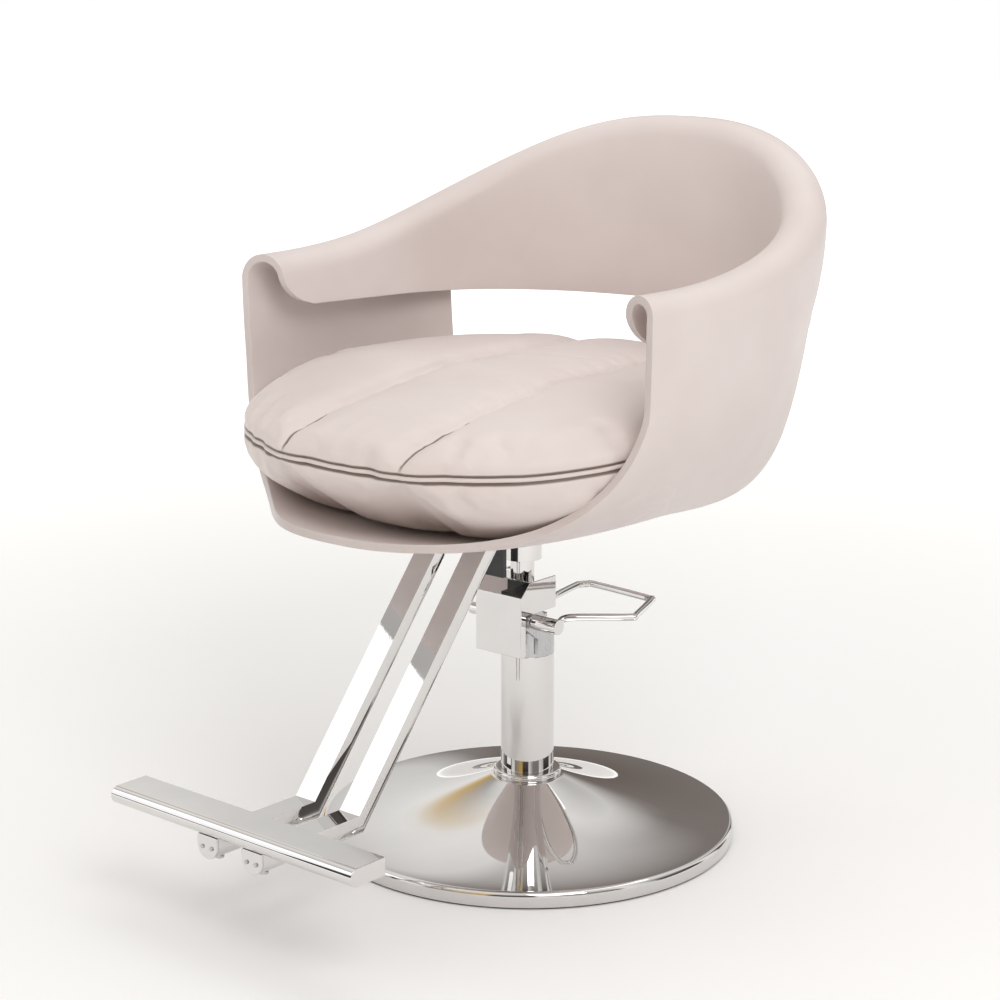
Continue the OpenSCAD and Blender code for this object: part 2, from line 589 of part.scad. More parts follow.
// ---- ram ----
module piston() {
    color(steel) translate([0, ram_y, piston_z]) difference() {
        cylinder(r = bore_r - 0.08, h = piston_h, $fn = 64);
        translate([0, 0, 6]) rotate_extrude($fn = 64) translate([bore_r - 1.6, 0]) square([5, 4]);
    }
}
module piston_seal() {
    color(black) translate([0, ram_y, piston_z + 6]) rotate_extrude($fn = 64)
        translate([bore_r - 1.6, 0]) square([1.54, 4]);
}
module ram() {
    color(chrome) translate([0, ram_y, ram_bottom]) cylinder(r = ram_r, h = ram_top - ram_bottom, $fn = 64);
}
module ram_stop_ring() {
    color(steel) translate([0, ram_y, ram_bottom + 4]) difference() {
        cylinder(r = bore_r - 0.1, h = 4, $fn = 64);
        translate([0, 0, -1]) cylinder(r = ram_r, h = 6, $fn = 64);
    }
}

// ---- seat bracket ----
module seat_bracket() {
    color(black) translate([0, ram_y, 0]) difference() {
        union() {
            translate([-plate_half, web_front - ram_y, pan_z - plate_t])
                cube([2 * plate_half, plate_half + ram_y - web_front, plate_t]);
            translate([0, 0, hub_bottom]) cylinder(r = hub_r, h = pan_z - plate_t - hub_bottom, $fn = 64);
            for (a = [0:90:270]) rotate(a) translate([hub_r - 2, -2.5, pan_z - plate_t - 30]) gusset();
            translate([-web_half, web_front - ram_y, web_bottom])
                cube([2 * web_half, web_t, pan_z - web_bottom]);
        }
        translate([0, 0, hub_bottom - 1]) cylinder(r = ram_r + 0.02, h = ram_top - hub_bottom + 1, $fn = 64);
        for (x = [-1, 1], y = [-1, 1]) translate([x * bracket_bolt_p, y * bracket_bolt_p, 0])
            cylinder(r = 3.3, h = big, $fn = 24);
    }
}
module gusset() {
    rotate([90, 0, 0]) mirror([0, 0, 1]) linear_extrude(5) polygon([[0, 0], [26, 30], [0, 30]]);
}
module bracket_bolts() {
    color(steel) for (x = [-1, 1], y = [-1, 1])
        translate([x * bracket_bolt_p, ram_y + y * bracket_bolt_p, pan_z]) {
        translate([0, 0, -plate_t]) cylinder(r = 3.2, h = plate_t, $fn = 24);
        translate([0, 0, -plate_t - 4.5]) cylinder(r = 6, h = 4.5, $fn = 6);
    }
}
// black plate ahead of the hub plate that the footrest tubes are welded to
module footrest_bracket() {
    front = tube_flat_y(tube_end_z) - 18;
    color(black) translate([-tube_x - 30, front, pan_z - front_plate_t]) difference() {
        cube([2 * tube_x + 60, web_front - front, front_plate_t]);
        for (s = [0, 1]) translate([8 + s * (2 * tube_x + 44), 9, -1]) cylinder(r = 3.3, h = big, $fn = 24);
    }
}
module bracket_screws() {
    front = tube_flat_y(tube_end_z) - 18;
    color(steel) for (s = [0, 1]) translate([8 + s * (2 * tube_x + 44) - tube_x - 30, front + 9,
        pan_z - front_plate_t]) {
        cylinder(r = 3.2, h = front_plate_t, $fn = 24);
        translate([0, 0, -3.5]) cylinder(r = 6, h = 3.5, $fn = 24);
    }
}

// ---- footrest ----
// half-round section, its flat on the line y = 0, round below
module tube_section(e) {
    r = tube_w / 2 - e;
    translate([0, -e]) union() {
        translate([-r, -(tube_d - tube_w / 2) + e]) square([2 * r, tube_d - tube_w / 2 - e]);
        translate([0, -(tube_d - tube_w / 2) + e]) difference() {
            circle(r = r, $fn = 48);
            translate([-big, 0]) square([2 * big, big]);
        }
    }
}
// outline of the same section, and where it stands at the tube's three stations
function tube_outline(e) = let (r = tube_w / 2 - e, c = tube_d - tube_w / 2)
    concat([[-r, -e]], [for (a = [180:7.5:360]) [r * cos(a), r * sin(a) - c]], [[r, -e]]);
function tube_flat_y(z) = bend_y + (z - bend_z) / tan(tube_angle);
function tube_station(x, e, i, past) = [for (p = tube_outline(e))
    let (s = (tube_end_z - bend_z + past - p[1] * cos(tube_angle)) / sin(tube_angle))
    i == 0 ? [x + p[0], tube_cap_y - past, bend_z + p[1]]
    : i == 1 ? [x + p[0], bend_y - p[1] * tan(tube_angle / 2), bend_z + p[1]]
    : [x + p[0], bend_y - p[1] * sin(tube_angle) + s * cos(tube_angle), tube_end_z + past]];
module footrest_tube(x) {
    color(chrome) difference() {
        section_body([for (i = [0:2]) tube_station(x, 0, i, 0)]);
        section_body([for (i = [0:2]) tube_station(x, tube_t, i, 1)]);
        translate([x, screw_y, bend_z - tube_d - 1]) cylinder(r = 2.6, h = tube_d + 2, $fn = 24);
    }
}
module left_footrest_tube() {
    footrest_tube(tube_x);
}
module right_footrest_tube() {
    footrest_tube(-tube_x);
}
cap_thick = 3;
module tube_end_caps() {
    color(chrome) for (x = [-tube_x, tube_x]) translate([x, tube_cap_y, lower_top]) rotate([90, 0, 0]) {
        linear_extrude(cap_thick) tube_section(0);
        translate([0, 0, -8]) linear_extrude(8) tube_section(tube_t + 0.05);
    }
}
module cap_screws() {
    color(steel) for (x = [-tube_x, tube_x], s = [-1, 1])
        translate([x + s * 7, tube_cap_y - cap_thick, lower_top - tube_d / 2]) rotate([90, 0, 0])
            cylinder(r = 2.4, h = 1.6, $fn = 24);
}
screw_y = -(bar_back + bar_d * 0.55);
module foot_bar() {
    nose = bar_h / 2;
    color(chrome) difference() {
        translate([-bar_len / 2, -bar_back, lower_top]) rotate([90, 0, 90]) linear_extrude(bar_len) union() {
            translate([nose - bar_d, nose]) circle(r = nose, $fn = 48);
            translate([nose - bar_d, 0]) square([bar_d - nose, bar_h]);
        }
        for (x = [-tube_x, tube_x]) translate([x, screw_y, lower_top - 1])
            cylinder(r = 2.6, h = 13, $fn = 24);
    }
}
module foot_bar_screws() {
    color(steel) for (x = [-tube_x, tube_x]) translate([x, screw_y, lower_top - tube_d - 3]) {
        cylinder(r = 5, h = 3, $fn = 24);
        cylinder(r = 2.5, h = tube_d + 14, $fn = 24);
    }
}

base_plate();
base_edge_ring();
base_cover();
base_flange();
base_bolts();
column_collar();
column_tube();
pump_foot_valve();
pressure_tube();
pump_head();
head_screws();
ram_gland();
head_cover();
plunger_spring();
plunger();
pedal_shaft();
pedal_boss();
boss_grub_screw();
pedal_eye();
shaft_clip();
pedal_loop();
piston();
piston_seal();
ram();
ram_stop_ring();
seat_bracket();
bracket_bolts();
footrest_bracket();
bracket_screws();
left_footrest_tube();
right_footrest_tube();
tube_end_caps();
cap_screws();
foot_bar();
foot_bar_screws();
seat_pan();
left_side_panel();
right_side_panel();
back_band();
back_core();
cushion_board();
cushion();
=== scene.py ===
# %% [markdown]
# # A hydraulic styling chair
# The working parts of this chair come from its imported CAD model: base, pump, pedal, ram, footrest.
# This script keeps their places and sizes and gives them their finishes, and it makes the soft
# parts anew: one continuous leather tub, and a stuffed seat cushion. Everything is in metres.
# The origin is the middle of the base on the floor, +Z is up and the sitter faces -Y.

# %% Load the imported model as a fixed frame
import math

import bmesh
import bpy
import numpy as np
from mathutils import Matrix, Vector


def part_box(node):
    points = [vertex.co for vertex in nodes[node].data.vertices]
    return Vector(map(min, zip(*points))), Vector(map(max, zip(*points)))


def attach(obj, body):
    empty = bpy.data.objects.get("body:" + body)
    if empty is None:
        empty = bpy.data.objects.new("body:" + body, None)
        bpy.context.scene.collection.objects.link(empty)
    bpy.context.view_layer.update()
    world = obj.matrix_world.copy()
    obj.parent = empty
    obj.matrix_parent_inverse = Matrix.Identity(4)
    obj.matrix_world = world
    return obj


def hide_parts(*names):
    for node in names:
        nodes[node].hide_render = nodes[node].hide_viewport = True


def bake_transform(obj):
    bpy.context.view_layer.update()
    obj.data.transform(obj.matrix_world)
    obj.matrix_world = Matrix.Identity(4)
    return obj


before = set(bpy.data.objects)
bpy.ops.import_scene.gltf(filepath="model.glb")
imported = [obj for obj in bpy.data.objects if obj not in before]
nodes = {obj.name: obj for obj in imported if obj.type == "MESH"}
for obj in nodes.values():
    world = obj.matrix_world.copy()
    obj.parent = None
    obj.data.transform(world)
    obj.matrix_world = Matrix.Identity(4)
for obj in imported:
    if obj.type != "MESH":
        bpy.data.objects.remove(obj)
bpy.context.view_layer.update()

# %% [markdown]
# ## The camera
# A product view is taken from a little above seat height with a long lens, so that the round base
# stays a calm ellipse and the sides hardly converge. The camera looks at a point in mid-chair. It is
# given by its azimuth, its elevation and its distance, because those are what a photographer changes.

# %% Camera
CAMERA_AZIMUTH = math.radians(40.53)
CAMERA_ELEVATION = math.radians(13.0)
CAMERA_DISTANCE = 2.6209
CAMERA_TARGET = Vector((-0.02517, -0.02152, 0.41073))
CAMERA_LENS = 79.91

towards_camera = Vector((math.sin(CAMERA_AZIMUTH) * math.cos(CAMERA_ELEVATION),
                         -math.cos(CAMERA_AZIMUTH) * math.cos(CAMERA_ELEVATION),
                         math.sin(CAMERA_ELEVATION)))
camera = bpy.data.objects.new("camera", bpy.data.cameras.new("camera"))
camera.data.lens = CAMERA_LENS
camera.location = CAMERA_TARGET + towards_camera * CAMERA_DISTANCE
camera.rotation_euler = towards_camera.to_track_quat("Z", "Y").to_euler()
bpy.context.scene.collection.objects.link(camera)
bpy.context.scene.camera = camera
bpy.context.scene.view_settings.view_transform = "Standard"
print("camera at", [round(c, 3) for c in camera.location])

# %% [markdown]
# ## The studio
# Chrome has no colour of its own: it shows the room. So the room is designed first. The floor is pale
# and plain. Overhead is soft white, and round the horizon stand softly edged flats in white, grey,
# dark brown and a little gold, which become the long streaks on tubes and on the dish of the base.
# They are painted on the world by direction, and only reflections and light see them. The camera
# sees plain white, so the chair reads cleanly from every side.

# %% Floor
FLOOR_SIZE = 40.0
FLOOR_COLOUR = (0.93, 0.93, 0.93, 1)


def plain_material(name, colour, roughness):
    """A material with one colour, for the stage only."""
    material = bpy.data.materials.new(name)
    material.use_nodes = True
    shader = material.node_tree.nodes["Principled BSDF"]
    shader.inputs["Base Color"].default_value = colour
    shader.inputs["Roughness"].default_value = roughness
    return material


half = FLOOR_SIZE / 2
floor_mesh = bpy.data.meshes.new("studio_floor")
floor_mesh.from_pydata([(-half, -half, 0), (half, -half, 0), (half, half, 0), (-half, half, 0)], [], [(0, 1, 2, 3)])
floor = bpy.data.objects.new("studio_floor", floor_mesh)
floor.data.materials.append(plain_material("floor_paint", FLOOR_COLOUR, 0.85))
bpy.context.scene.collection.objects.link(floor)

# %% Helpers that wire shader nodes
def link(tree, source, target):
    tree.links.new(source, target)


def new_node(tree, kind, **settings):
    """Adds a shader node and sets the properties named in settings."""
    node = tree.nodes.new(kind)
    for key, value in settings.items():
        setattr(node, key, value)
    return node


def math_node(tree, operation, a, b=None, clamp=False):
    """One Math node. a and b are numbers or sockets. Returns its output socket."""
    node = new_node(tree, "ShaderNodeMath", operation=operation, use_clamp=clamp)
    for socket, value in zip(node.inputs, (a, b)):
        if value is None:
            continue
        if isinstance(value, (int, float)):
            socket.default_value = value
        else:
            link(tree, value, socket)
    return node.outputs[0]


def ramp_node(tree, factor, stops, interpolation="LINEAR"):
    """A colour ramp with stops [(place, (r, g, b))]. Returns its colour socket."""
    node = new_node(tree, "ShaderNodeValToRGB")
    ramp = node.color_ramp
    ramp.interpolation = interpolation
    while len(ramp.elements) < len(stops):
        ramp.elements.new(0.5)
    for element, (place, colour) in zip(ramp.elements, stops):
        element.position = place
        element.color = (*colour, 1)
    link(tree, factor, node.inputs[0])
    return node.outputs["Color"]


def mix_colours(tree, factor, a, b, blend="MIX"):
    """Mixes two colours. Each of factor, a and b is a number, a colour or a socket."""
    node = new_node(tree, "ShaderNodeMix", data_type="RGBA", blend_type=blend)
    for socket, value in ((node.inputs[0], factor), (node.inputs[6], a), (node.inputs[7], b)):
        if isinstance(value, bpy.types.NodeSocket):
            link(tree, value, socket)
        elif isinstance(value, (int, float)):
            socket.default_value = value
        else:
            socket.default_value = (*value, 1)
    return node.outputs[2]


# the floor glows softly far from the chair, so that it runs into the white without a horizon
floor_tree = floor.data.materials[0].node_tree
floor_place = new_node(floor_tree, "ShaderNodeTexCoord").outputs["Object"]
from_chair = new_node(floor_tree, "ShaderNodeVectorMath", operation="LENGTH")
link(floor_tree, floor_place, from_chair.inputs[0])
far_away = new_node(floor_tree, "ShaderNodeMapRange", interpolation_type="SMOOTHSTEP")
far_away.inputs["From Min"].default_value = 0.4
far_away.inputs["From Max"].default_value = 4.5
link(floor_tree, from_chair.outputs["Value"], far_away.inputs["Value"])
floor_shader = floor_tree.nodes["Principled BSDF"]
floor_glow = mix_colours(floor_tree, far_away.outputs[0], (0.0, 0.0, 0.0), (1.0, 1.0, 1.0))
link(floor_tree, floor_glow, floor_shader.inputs["Emission Color"])
floor_shader.inputs["Emission Strength"].default_value = 0.6
print("node helpers ready")

# %% The room that the chrome reflects
WHITE = (1.0, 0.99, 0.97)
PALE = (0.70, 0.69, 0.67)
GREY = (0.26, 0.245, 0.235)
BROWN = (0.040, 0.030, 0.026)
UMBER = (0.17, 0.14, 0.125)
GOLD = (0.70, 0.46, 0.13)
SKY_STRENGTH = 1.0

world = bpy.data.worlds.new("studio")
bpy.context.scene.world = world
world.use_nodes = True
sky = world.node_tree
sky.nodes.clear()
direction = new_node(sky, "ShaderNodeTexCoord")
split = new_node(sky, "ShaderNodeSeparateXYZ")
link(sky, direction.outputs["Generated"], split.inputs[0])
way_x, way_y, way_z = split.outputs
azimuth = math_node(sky, "ARCTAN2", way_y, way_x)
turn = math_node(sky, "ADD", math_node(sky, "DIVIDE", azimuth, 2 * math.pi), 0.5)
FLATS = [
    (0.00, PALE), (0.03, GREY), (0.085, BROWN), (0.155, BROWN), (0.165, WHITE), (0.20, WHITE),
    (0.21, GREY), (0.295, GOLD), (0.312, BROWN), (0.37, BROWN), (0.38, WHITE),
    (0.43, GREY), (0.50, GREY), (0.51, WHITE), (0.56, PALE), (0.57, BROWN), (0.655, BROWN), (0.665, WHITE),
    (0.70, WHITE), (0.71, BROWN), (0.735, GREY), (0.745, WHITE), (0.765, WHITE), (0.773, BROWN), (0.805, PALE),
    (0.822, UMBER), (0.866, UMBER), (0.874, PALE), (0.905, WHITE), (0.915, GOLD), (0.935, BROWN), (0.955, WHITE)]
flats = ramp_node(sky, turn, FLATS)
overhead = ramp_node(sky, way_z, [(0.0, (0, 0, 0)), (0.40, (0.1, 0.1, 0.1)), (0.80, (0.85, 0.85, 0.85))])
room = mix_colours(sky, overhead, flats, WHITE)
sees = new_node(sky, "ShaderNodeLightPath")
seen = mix_colours(sky, sees.outputs["Is Camera Ray"], room, (1.0, 1.0, 1.0))
glow = new_node(sky, "ShaderNodeBackground")
glow.inputs["Strength"].default_value = SKY_STRENGTH
link(sky, seen, glow.inputs["Color"])
link(sky, glow.outputs[0], new_node(sky, "ShaderNodeOutputWorld").inputs["Surface"])
print("room painted with", len(FLATS), "flats")

# %% Soft lamps
def soft_lamp(name, place, target, size, power, colour):
    """A square area lamp at place that faces target."""
    lamp = bpy.data.objects.new(name, bpy.data.lights.new(name, "AREA"))
    lamp.data.shape = "RECTANGLE"
    lamp.data.size, lamp.data.size_y = size
    lamp.data.energy = power
    lamp.data.color = colour
    lamp.location = place
    lamp.rotation_euler = (Vector(place) - Vector(target)).to_track_quat("Z", "Y").to_euler()
    bpy.context.scene.collection.objects.link(lamp)
    return lamp


seat_height = Vector((0, 0, 0.55))
soft_lamp("key", (2.3, -1.4, 2.6), seat_height, (1.6, 1.6), 36, (1.0, 0.985, 0.975))
soft_lamp("fill", (-2.4, -2.2, 1.5), seat_height, (1.4, 2.2), 12, (0.97, 0.98, 1.0))
soft_lamp("top", (0.2, 0.8, 3.0), seat_height, (2.0, 2.0), 12, (1.0, 1.0, 1.0))

# %% [markdown]
# ## Effects that several finishes share
# Leather is never one flat colour: it has a fine pebble, a slow mottling, and soft creases where it is
# pulled. Polished or painted metal has faint wiping marks. Each of these is a node group that puts out
# only heights and masks. The shader that uses them stays in each material.

# %% Node group: leather grain
def new_group(name, inputs, outputs):
    """A shader node group with float inputs {name: value} and the named float outputs."""
    group = bpy.data.node_groups.new(name, "ShaderNodeTree")
    for label, value in inputs.items():
        socket = group.interface.new_socket(label, in_out="INPUT", socket_type="NodeSocketFloat")
        socket.default_value = value
    group.interface.new_socket("Vector", in_out="INPUT", socket_type="NodeSocketVector")
    for label in outputs:
        group.interface.new_socket(label, in_out="OUTPUT", socket_type="NodeSocketFloat")
    return group, group.nodes.new("NodeGroupInput"), group.nodes.new("NodeGroupOutput")


def noise_node(tree, vector, scale, detail=2.0, roughness=0.5):
    """A Noise texture. Returns its value socket."""
    node = new_node(tree, "ShaderNodeTexNoise")
    node.inputs["Detail"].default_value = detail
    node.inputs["Roughness"].default_value = roughness
    link(tree, vector, node.inputs["Vector"])
    if isinstance(scale, (int, float)):
        node.inputs["Scale"].default_value = scale
    else:
        link(tree, scale, node.inputs["Scale"])
    return node.outputs[0]


leather_grain, given, gives = new_group("leather_grain", {"Pebbles per metre": 620.0, "Crease": 0.35},
                                        ["Height", "Mottle", "Wear"])
place = given.outputs["Vector"]
pebble = new_node(leather_grain, "ShaderNodeTexVoronoi", feature="SMOOTH_F1")
link(leather_grain, place, pebble.inputs["Vector"])
link(leather_grain, given.outputs["Pebbles per metre"], pebble.inputs["Scale"])
fine = math_node(leather_grain, "SUBTRACT", 1.0, pebble.outputs["Distance"])
crease = noise_node(leather_grain, place, 55.0, 4.0, 0.6)
creased = math_node(leather_grain, "MULTIPLY", crease, given.outputs["Crease"])
link(leather_grain, math_node(leather_grain, "ADD", fine, creased), gives.inputs["Height"])
link(leather_grain, noise_node(leather_grain, place, 6.0, 3.0), gives.inputs["Mottle"])
link(leather_grain, noise_node(leather_grain, place, 28.0, 5.0, 0.65), gives.inputs["Wear"])
print("group", leather_grain.name)

# %% Node group: wiped metal
wiped_metal, given, gives = new_group("wiped_metal", {"Marks per metre": 9.0, "Scratches per metre": 260.0},
                                      ["Smudge", "Scratch"])
place = given.outputs["Vector"]
smudge = noise_node(wiped_metal, place, given.outputs["Marks per metre"], 4.0, 0.6)
stretched = new_node(wiped_metal, "ShaderNodeMapping")
stretched.inputs["Scale"].default_value = (1.0, 1.0, 0.06)
link(wiped_metal, place, stretched.inputs["Vector"])
scratch = noise_node(wiped_metal, stretched.outputs[0], given.outputs["Scratches per metre"], 3.0, 0.7)
link(wiped_metal, smudge, gives.inputs["Smudge"])
link(wiped_metal, scratch, gives.inputs["Scratch"])
print("group", wiped_metal.name)

# %% Material makers
def start_material(name):
    """A node material. Returns it with its tree, its shader and the Object coordinate socket."""
    material = bpy.data.materials.new(name)
    material.use_nodes = True
    tree = material.node_tree
    place = new_node(tree, "ShaderNodeTexCoord").outputs["Object"]
    return material, tree, tree.nodes["Principled BSDF"], place


def use_group(tree, group, place, **values):
    """Places a node group in a material, with the Object coordinate and its own values."""
    node = new_node(tree, "ShaderNodeGroup", node_tree=group)
    link(tree, place, node.inputs["Vector"])
    for label, value in values.items():
        node.inputs[label.replace("_", " ")].default_value = value
    return node


def bump_node(tree, height, strength, distance):
    """A Bump node fed by height. Returns its normal socket."""
    node = new_node(tree, "ShaderNodeBump")
    node.inputs["Strength"].default_value = strength
    node.inputs["Distance"].default_value = distance
    link(tree, height, node.inputs["Height"])
    return node.outputs[0]


def range_node(tree, value, low, high, from_low=0.3, from_high=0.7):
    """Maps value from one range onto another, clamped."""
    node = new_node(tree, "ShaderNodeMapRange")
    for socket, number in zip(list(node.inputs)[1:5], (from_low, from_high, low, high)):
        socket.default_value = number
    link(tree, value, node.inputs[0])
    return node.outputs[0]


def chrome_finish(name, tint, rough_low, rough_high):
    """Polished plate: a mirror whose roughness and tone change a little where hands have wiped it."""
    material, tree, shader, place = start_material(name)
    marks = use_group(tree, wiped_metal, place)
    tone = range_node(tree, marks.outputs["Smudge"], 0.0, 1.0)
    link(tree, mix_colours(tree, tone, [c * 0.93 for c in tint], tint), shader.inputs["Base Color"])
    link(tree, range_node(tree, marks.outputs["Smudge"], rough_low, rough_high), shader.inputs["Roughness"])
    link(tree, bump_node(tree, marks.outputs["Scratch"], 0.02, 0.0002), shader.inputs["Normal"])
    shader.inputs["Metallic"].default_value = 1.0
    return material


def steel_finish(name, tint, rough_low, rough_high):
    """Machined steel: fine turning marks and an uneven oil film."""
    material, tree, shader, place = start_material(name)
    marks = use_group(tree, wiped_metal, place, Marks_per_metre=40.0, Scratches_per_metre=900.0)
    tone = range_node(tree, marks.outputs["Scratch"], 0.0, 1.0)
    link(tree, mix_colours(tree, tone, [c * 0.78 for c in tint], tint), shader.inputs["Base Color"])
    link(tree, range_node(tree, marks.outputs["Smudge"], rough_low, rough_high), shader.inputs["Roughness"])
    link(tree, bump_node(tree, marks.outputs["Scratch"], 0.12, 0.0003), shader.inputs["Normal"])
    shader.inputs["Metallic"].default_value = 1.0
    return material


def coated_finish(name, colour, rough_low, rough_high, pebble, bump):
    """Paint or rubber: a dark coat with a slight orange peel and dusty patches."""
    material, tree, shader, place = start_material(name)
    coat = use_group(tree, leather_grain, place, Pebbles_per_metre=pebble)
    tone = range_node(tree, coat.outputs["Wear"], 0.0, 1.0)
    link(tree, mix_colours(tree, tone, colour, [min(1.0, c * 1.8 + 0.01) for c in colour]), shader.inputs["Base Color"])
    link(tree, range_node(tree, coat.outputs["Mottle"], rough_low, rough_high), shader.inputs["Roughness"])
    link(tree, bump_node(tree, coat.outputs["Height"], bump, 0.0002), shader.inputs["Normal"])
    return material


chrome = chrome_finish("chrome_plate", (0.74, 0.725, 0.715), 0.008, 0.03)
steel = steel_finish("machined_steel", (0.60, 0.60, 0.61), 0.22, 0.38)
brass = steel_finish("turned_brass", (0.80, 0.62, 0.30), 0.15, 0.30)
black_paint = coated_finish("black_paint", (0.012, 0.012, 0.013), 0.28, 0.45, 350.0, 0.15)
black_rubber = coated_finish("black_rubber", (0.015, 0.015, 0.015), 0.55, 0.8, 800.0, 0.4)
print("metals", [m.name for m in bpy.data.materials])

# %% [markdown]
# ## Plywood
# The cushion stands on a round plywood board. The grain is a stretched noise whose rings are folded by
# a sine, which gives long bands like a rotary-cut veneer.

# %% Plywood
plywood, tree, shader, place = start_material("plywood")
along = new_node(tree, "ShaderNodeMapping")
along.inputs["Scale"].default_value = (6.0, 60.0, 60.0)
link(tree, place, along.inputs["Vector"])
rings = math_node(tree, "SINE", math_node(tree, "MULTIPLY", noise_node(tree, along.outputs[0], 1.0, 4.0), 22.0))
link(tree, mix_colours(tree, range_node(tree, rings, 0.0, 1.0, -1.0, 1.0), (0.50, 0.34, 0.20), (0.66, 0.48, 0.31)),
     shader.inputs["Base Color"])
link(tree, bump_node(tree, rings, 0.1, 0.0003), shader.inputs["Normal"])
shader.inputs["Roughness"].default_value = 0.6
print("made", plywood.name)

# %% [markdown]
# ## Leather
# The cover is smooth pale leather, a little pink, with a low sheen. Its tone drifts slowly, and the
# pebble only shows close up. The trim at the cut edges is the same hide, folded over, so it is a
# touch darker and glossier.

# %% Leather
LEATHER = (0.715, 0.640, 0.625)
LEATHER_DEEP = (0.655, 0.575, 0.555)


def leather_finish(name, colour, deep, bump, rough_low=0.42, rough_high=0.55):
    """Soft hide with pebble, mottling and a faint sheen."""
    material, tree, shader, place = start_material(name)
    grain = use_group(tree, leather_grain, place)
    tone = range_node(tree, grain.outputs["Mottle"], 0.0, 1.0)
    skin = mix_colours(tree, tone, deep, colour)
    link(tree, skin, shader.inputs["Base Color"])
    link(tree, range_node(tree, grain.outputs["Wear"], rough_low, rough_high), shader.inputs["Roughness"])
    link(tree, bump_node(tree, grain.outputs["Height"], bump, 0.0004), shader.inputs["Normal"])
    shader.inputs["Sheen Weight"].default_value = 0.12
    shader.inputs["Sheen Roughness"].default_value = 0.4
    return material, tree, shader, skin, place


tub_leather = leather_finish("tub_leather", LEATHER, LEATHER_DEEP, 0.10)[0]
trim_leather = leather_finish("trim_leather", [c * 0.86 for c in LEATHER], [c * 0.82 for c in LEATHER_DEEP], 0.12,
                              0.36, 0.48)[0]
print("leather ready")

# %% [markdown]
# ## Helpers for new surfaces
# A surface is a grid of points, rows by columns, worked out by numpy as whole arrays. One helper turns
# grids into a welded mesh and another finishes a copy of a machined CAD part.

# %% Grids to mesh
def grid_faces(rows, columns, start, closed=False):
    """Quads of a rows x columns grid whose first vertex is start. A closed grid joins its last
    column to its first. The corners run along the columns first, then along the rows."""
    i = np.arange(rows - 1)[:, None]
    j = np.arange(columns if closed else columns - 1)[None, :]
    k = (j + 1) % columns
    return np.stack([start + i * columns + j, start + i * columns + k,
                     start + (i + 1) * columns + k, start + (i + 1) * columns + j], -1).reshape(-1, 4)


def mesh_object(name, points, faces, materials, weld=0.0):
    """Makes a smooth-shaded object from an (n, 3) array and a list of faces. weld merges doubles."""
    mesh = bpy.data.meshes.new(name)
    mesh.from_pydata(points.tolist(), [], [list(f) for f in faces])
    mesh.update()
    if weld:
        work = bmesh.new()
        work.from_mesh(mesh)
        bmesh.ops.remove_doubles(work, verts=work.verts, dist=weld)
        bmesh.ops.dissolve_degenerate(work, edges=work.edges, dist=weld / 2)
        work.to_mesh(mesh)
        work.free()
    for material in materials:
        mesh.materials.append(material)
    mesh.polygons.foreach_set("use_smooth", np.ones(len(mesh.polygons), bool))
    obj = bpy.data.objects.new(name, mesh)
    bpy.context.scene.collection.objects.link(obj)
    return obj


def place_piece(obj, body, slot, *replaced):
    """Says which body a piece rides on and which CAD nodes it stands for. slot is not used."""
    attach(obj, body)
    if replaced:
        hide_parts(*replaced)
    print(obj.name, "rides on", body, "with", len(obj.data.polygons), "faces")
    return obj


# %% [markdown]
# ## Machined parts
# The CAD parts already have their true shape, but their meshes are loose triangles with knife edges. A
# real edge is always broken a little, and on chrome that thin highlight is what says "metal". So each
# visible hard part gets a copy with its triangles merged, flat areas joined into single faces, and a
# small bevel. The CAD node stays as it is and is only hidden.

# %% Finish a copy of each machined part
BEVEL_ANGLE = math.radians(32)


def finished_copy(node, material, bevel, segments=2):
    """A merged copy of a CAD node with flat faces joined and its sharp edges rounded by bevel."""
    mesh = nodes[node].data.copy()
    work = bmesh.new()
    work.from_mesh(mesh)
    bmesh.ops.remove_doubles(work, verts=work.verts, dist=2e-6)
    bmesh.ops.dissolve_limit(work, angle_limit=math.radians(0.4), verts=work.verts, edges=work.edges)
    work.to_mesh(mesh)
    work.free()
    mesh.materials.clear()
    mesh.materials.append(material)
    mesh.polygons.foreach_set("use_smooth", np.ones(len(mesh.polygons), bool))
    mesh.polygons.foreach_set("material_index", np.zeros(len(mesh.polygons), np.int32))
    if "custom_normal" in mesh.attributes:
        mesh.attributes.remove(mesh.attributes["custom_normal"])
    mesh.set_sharp_from_angle(angle=BEVEL_ANGLE)
    obj = bpy.data.objects.new(node + "_finished", mesh)
    bpy.context.scene.collection.objects.link(obj)
    if bevel:
        rounding = obj.modifiers.new("broken_edges", "BEVEL")
        rounding.width = bevel
        rounding.segments = segments
        rounding.limit_method = "ANGLE"
        rounding.angle_limit = BEVEL_ANGLE
        rounding.harden_normals = True
        rounding.use_clamp_overlap = True
    return obj


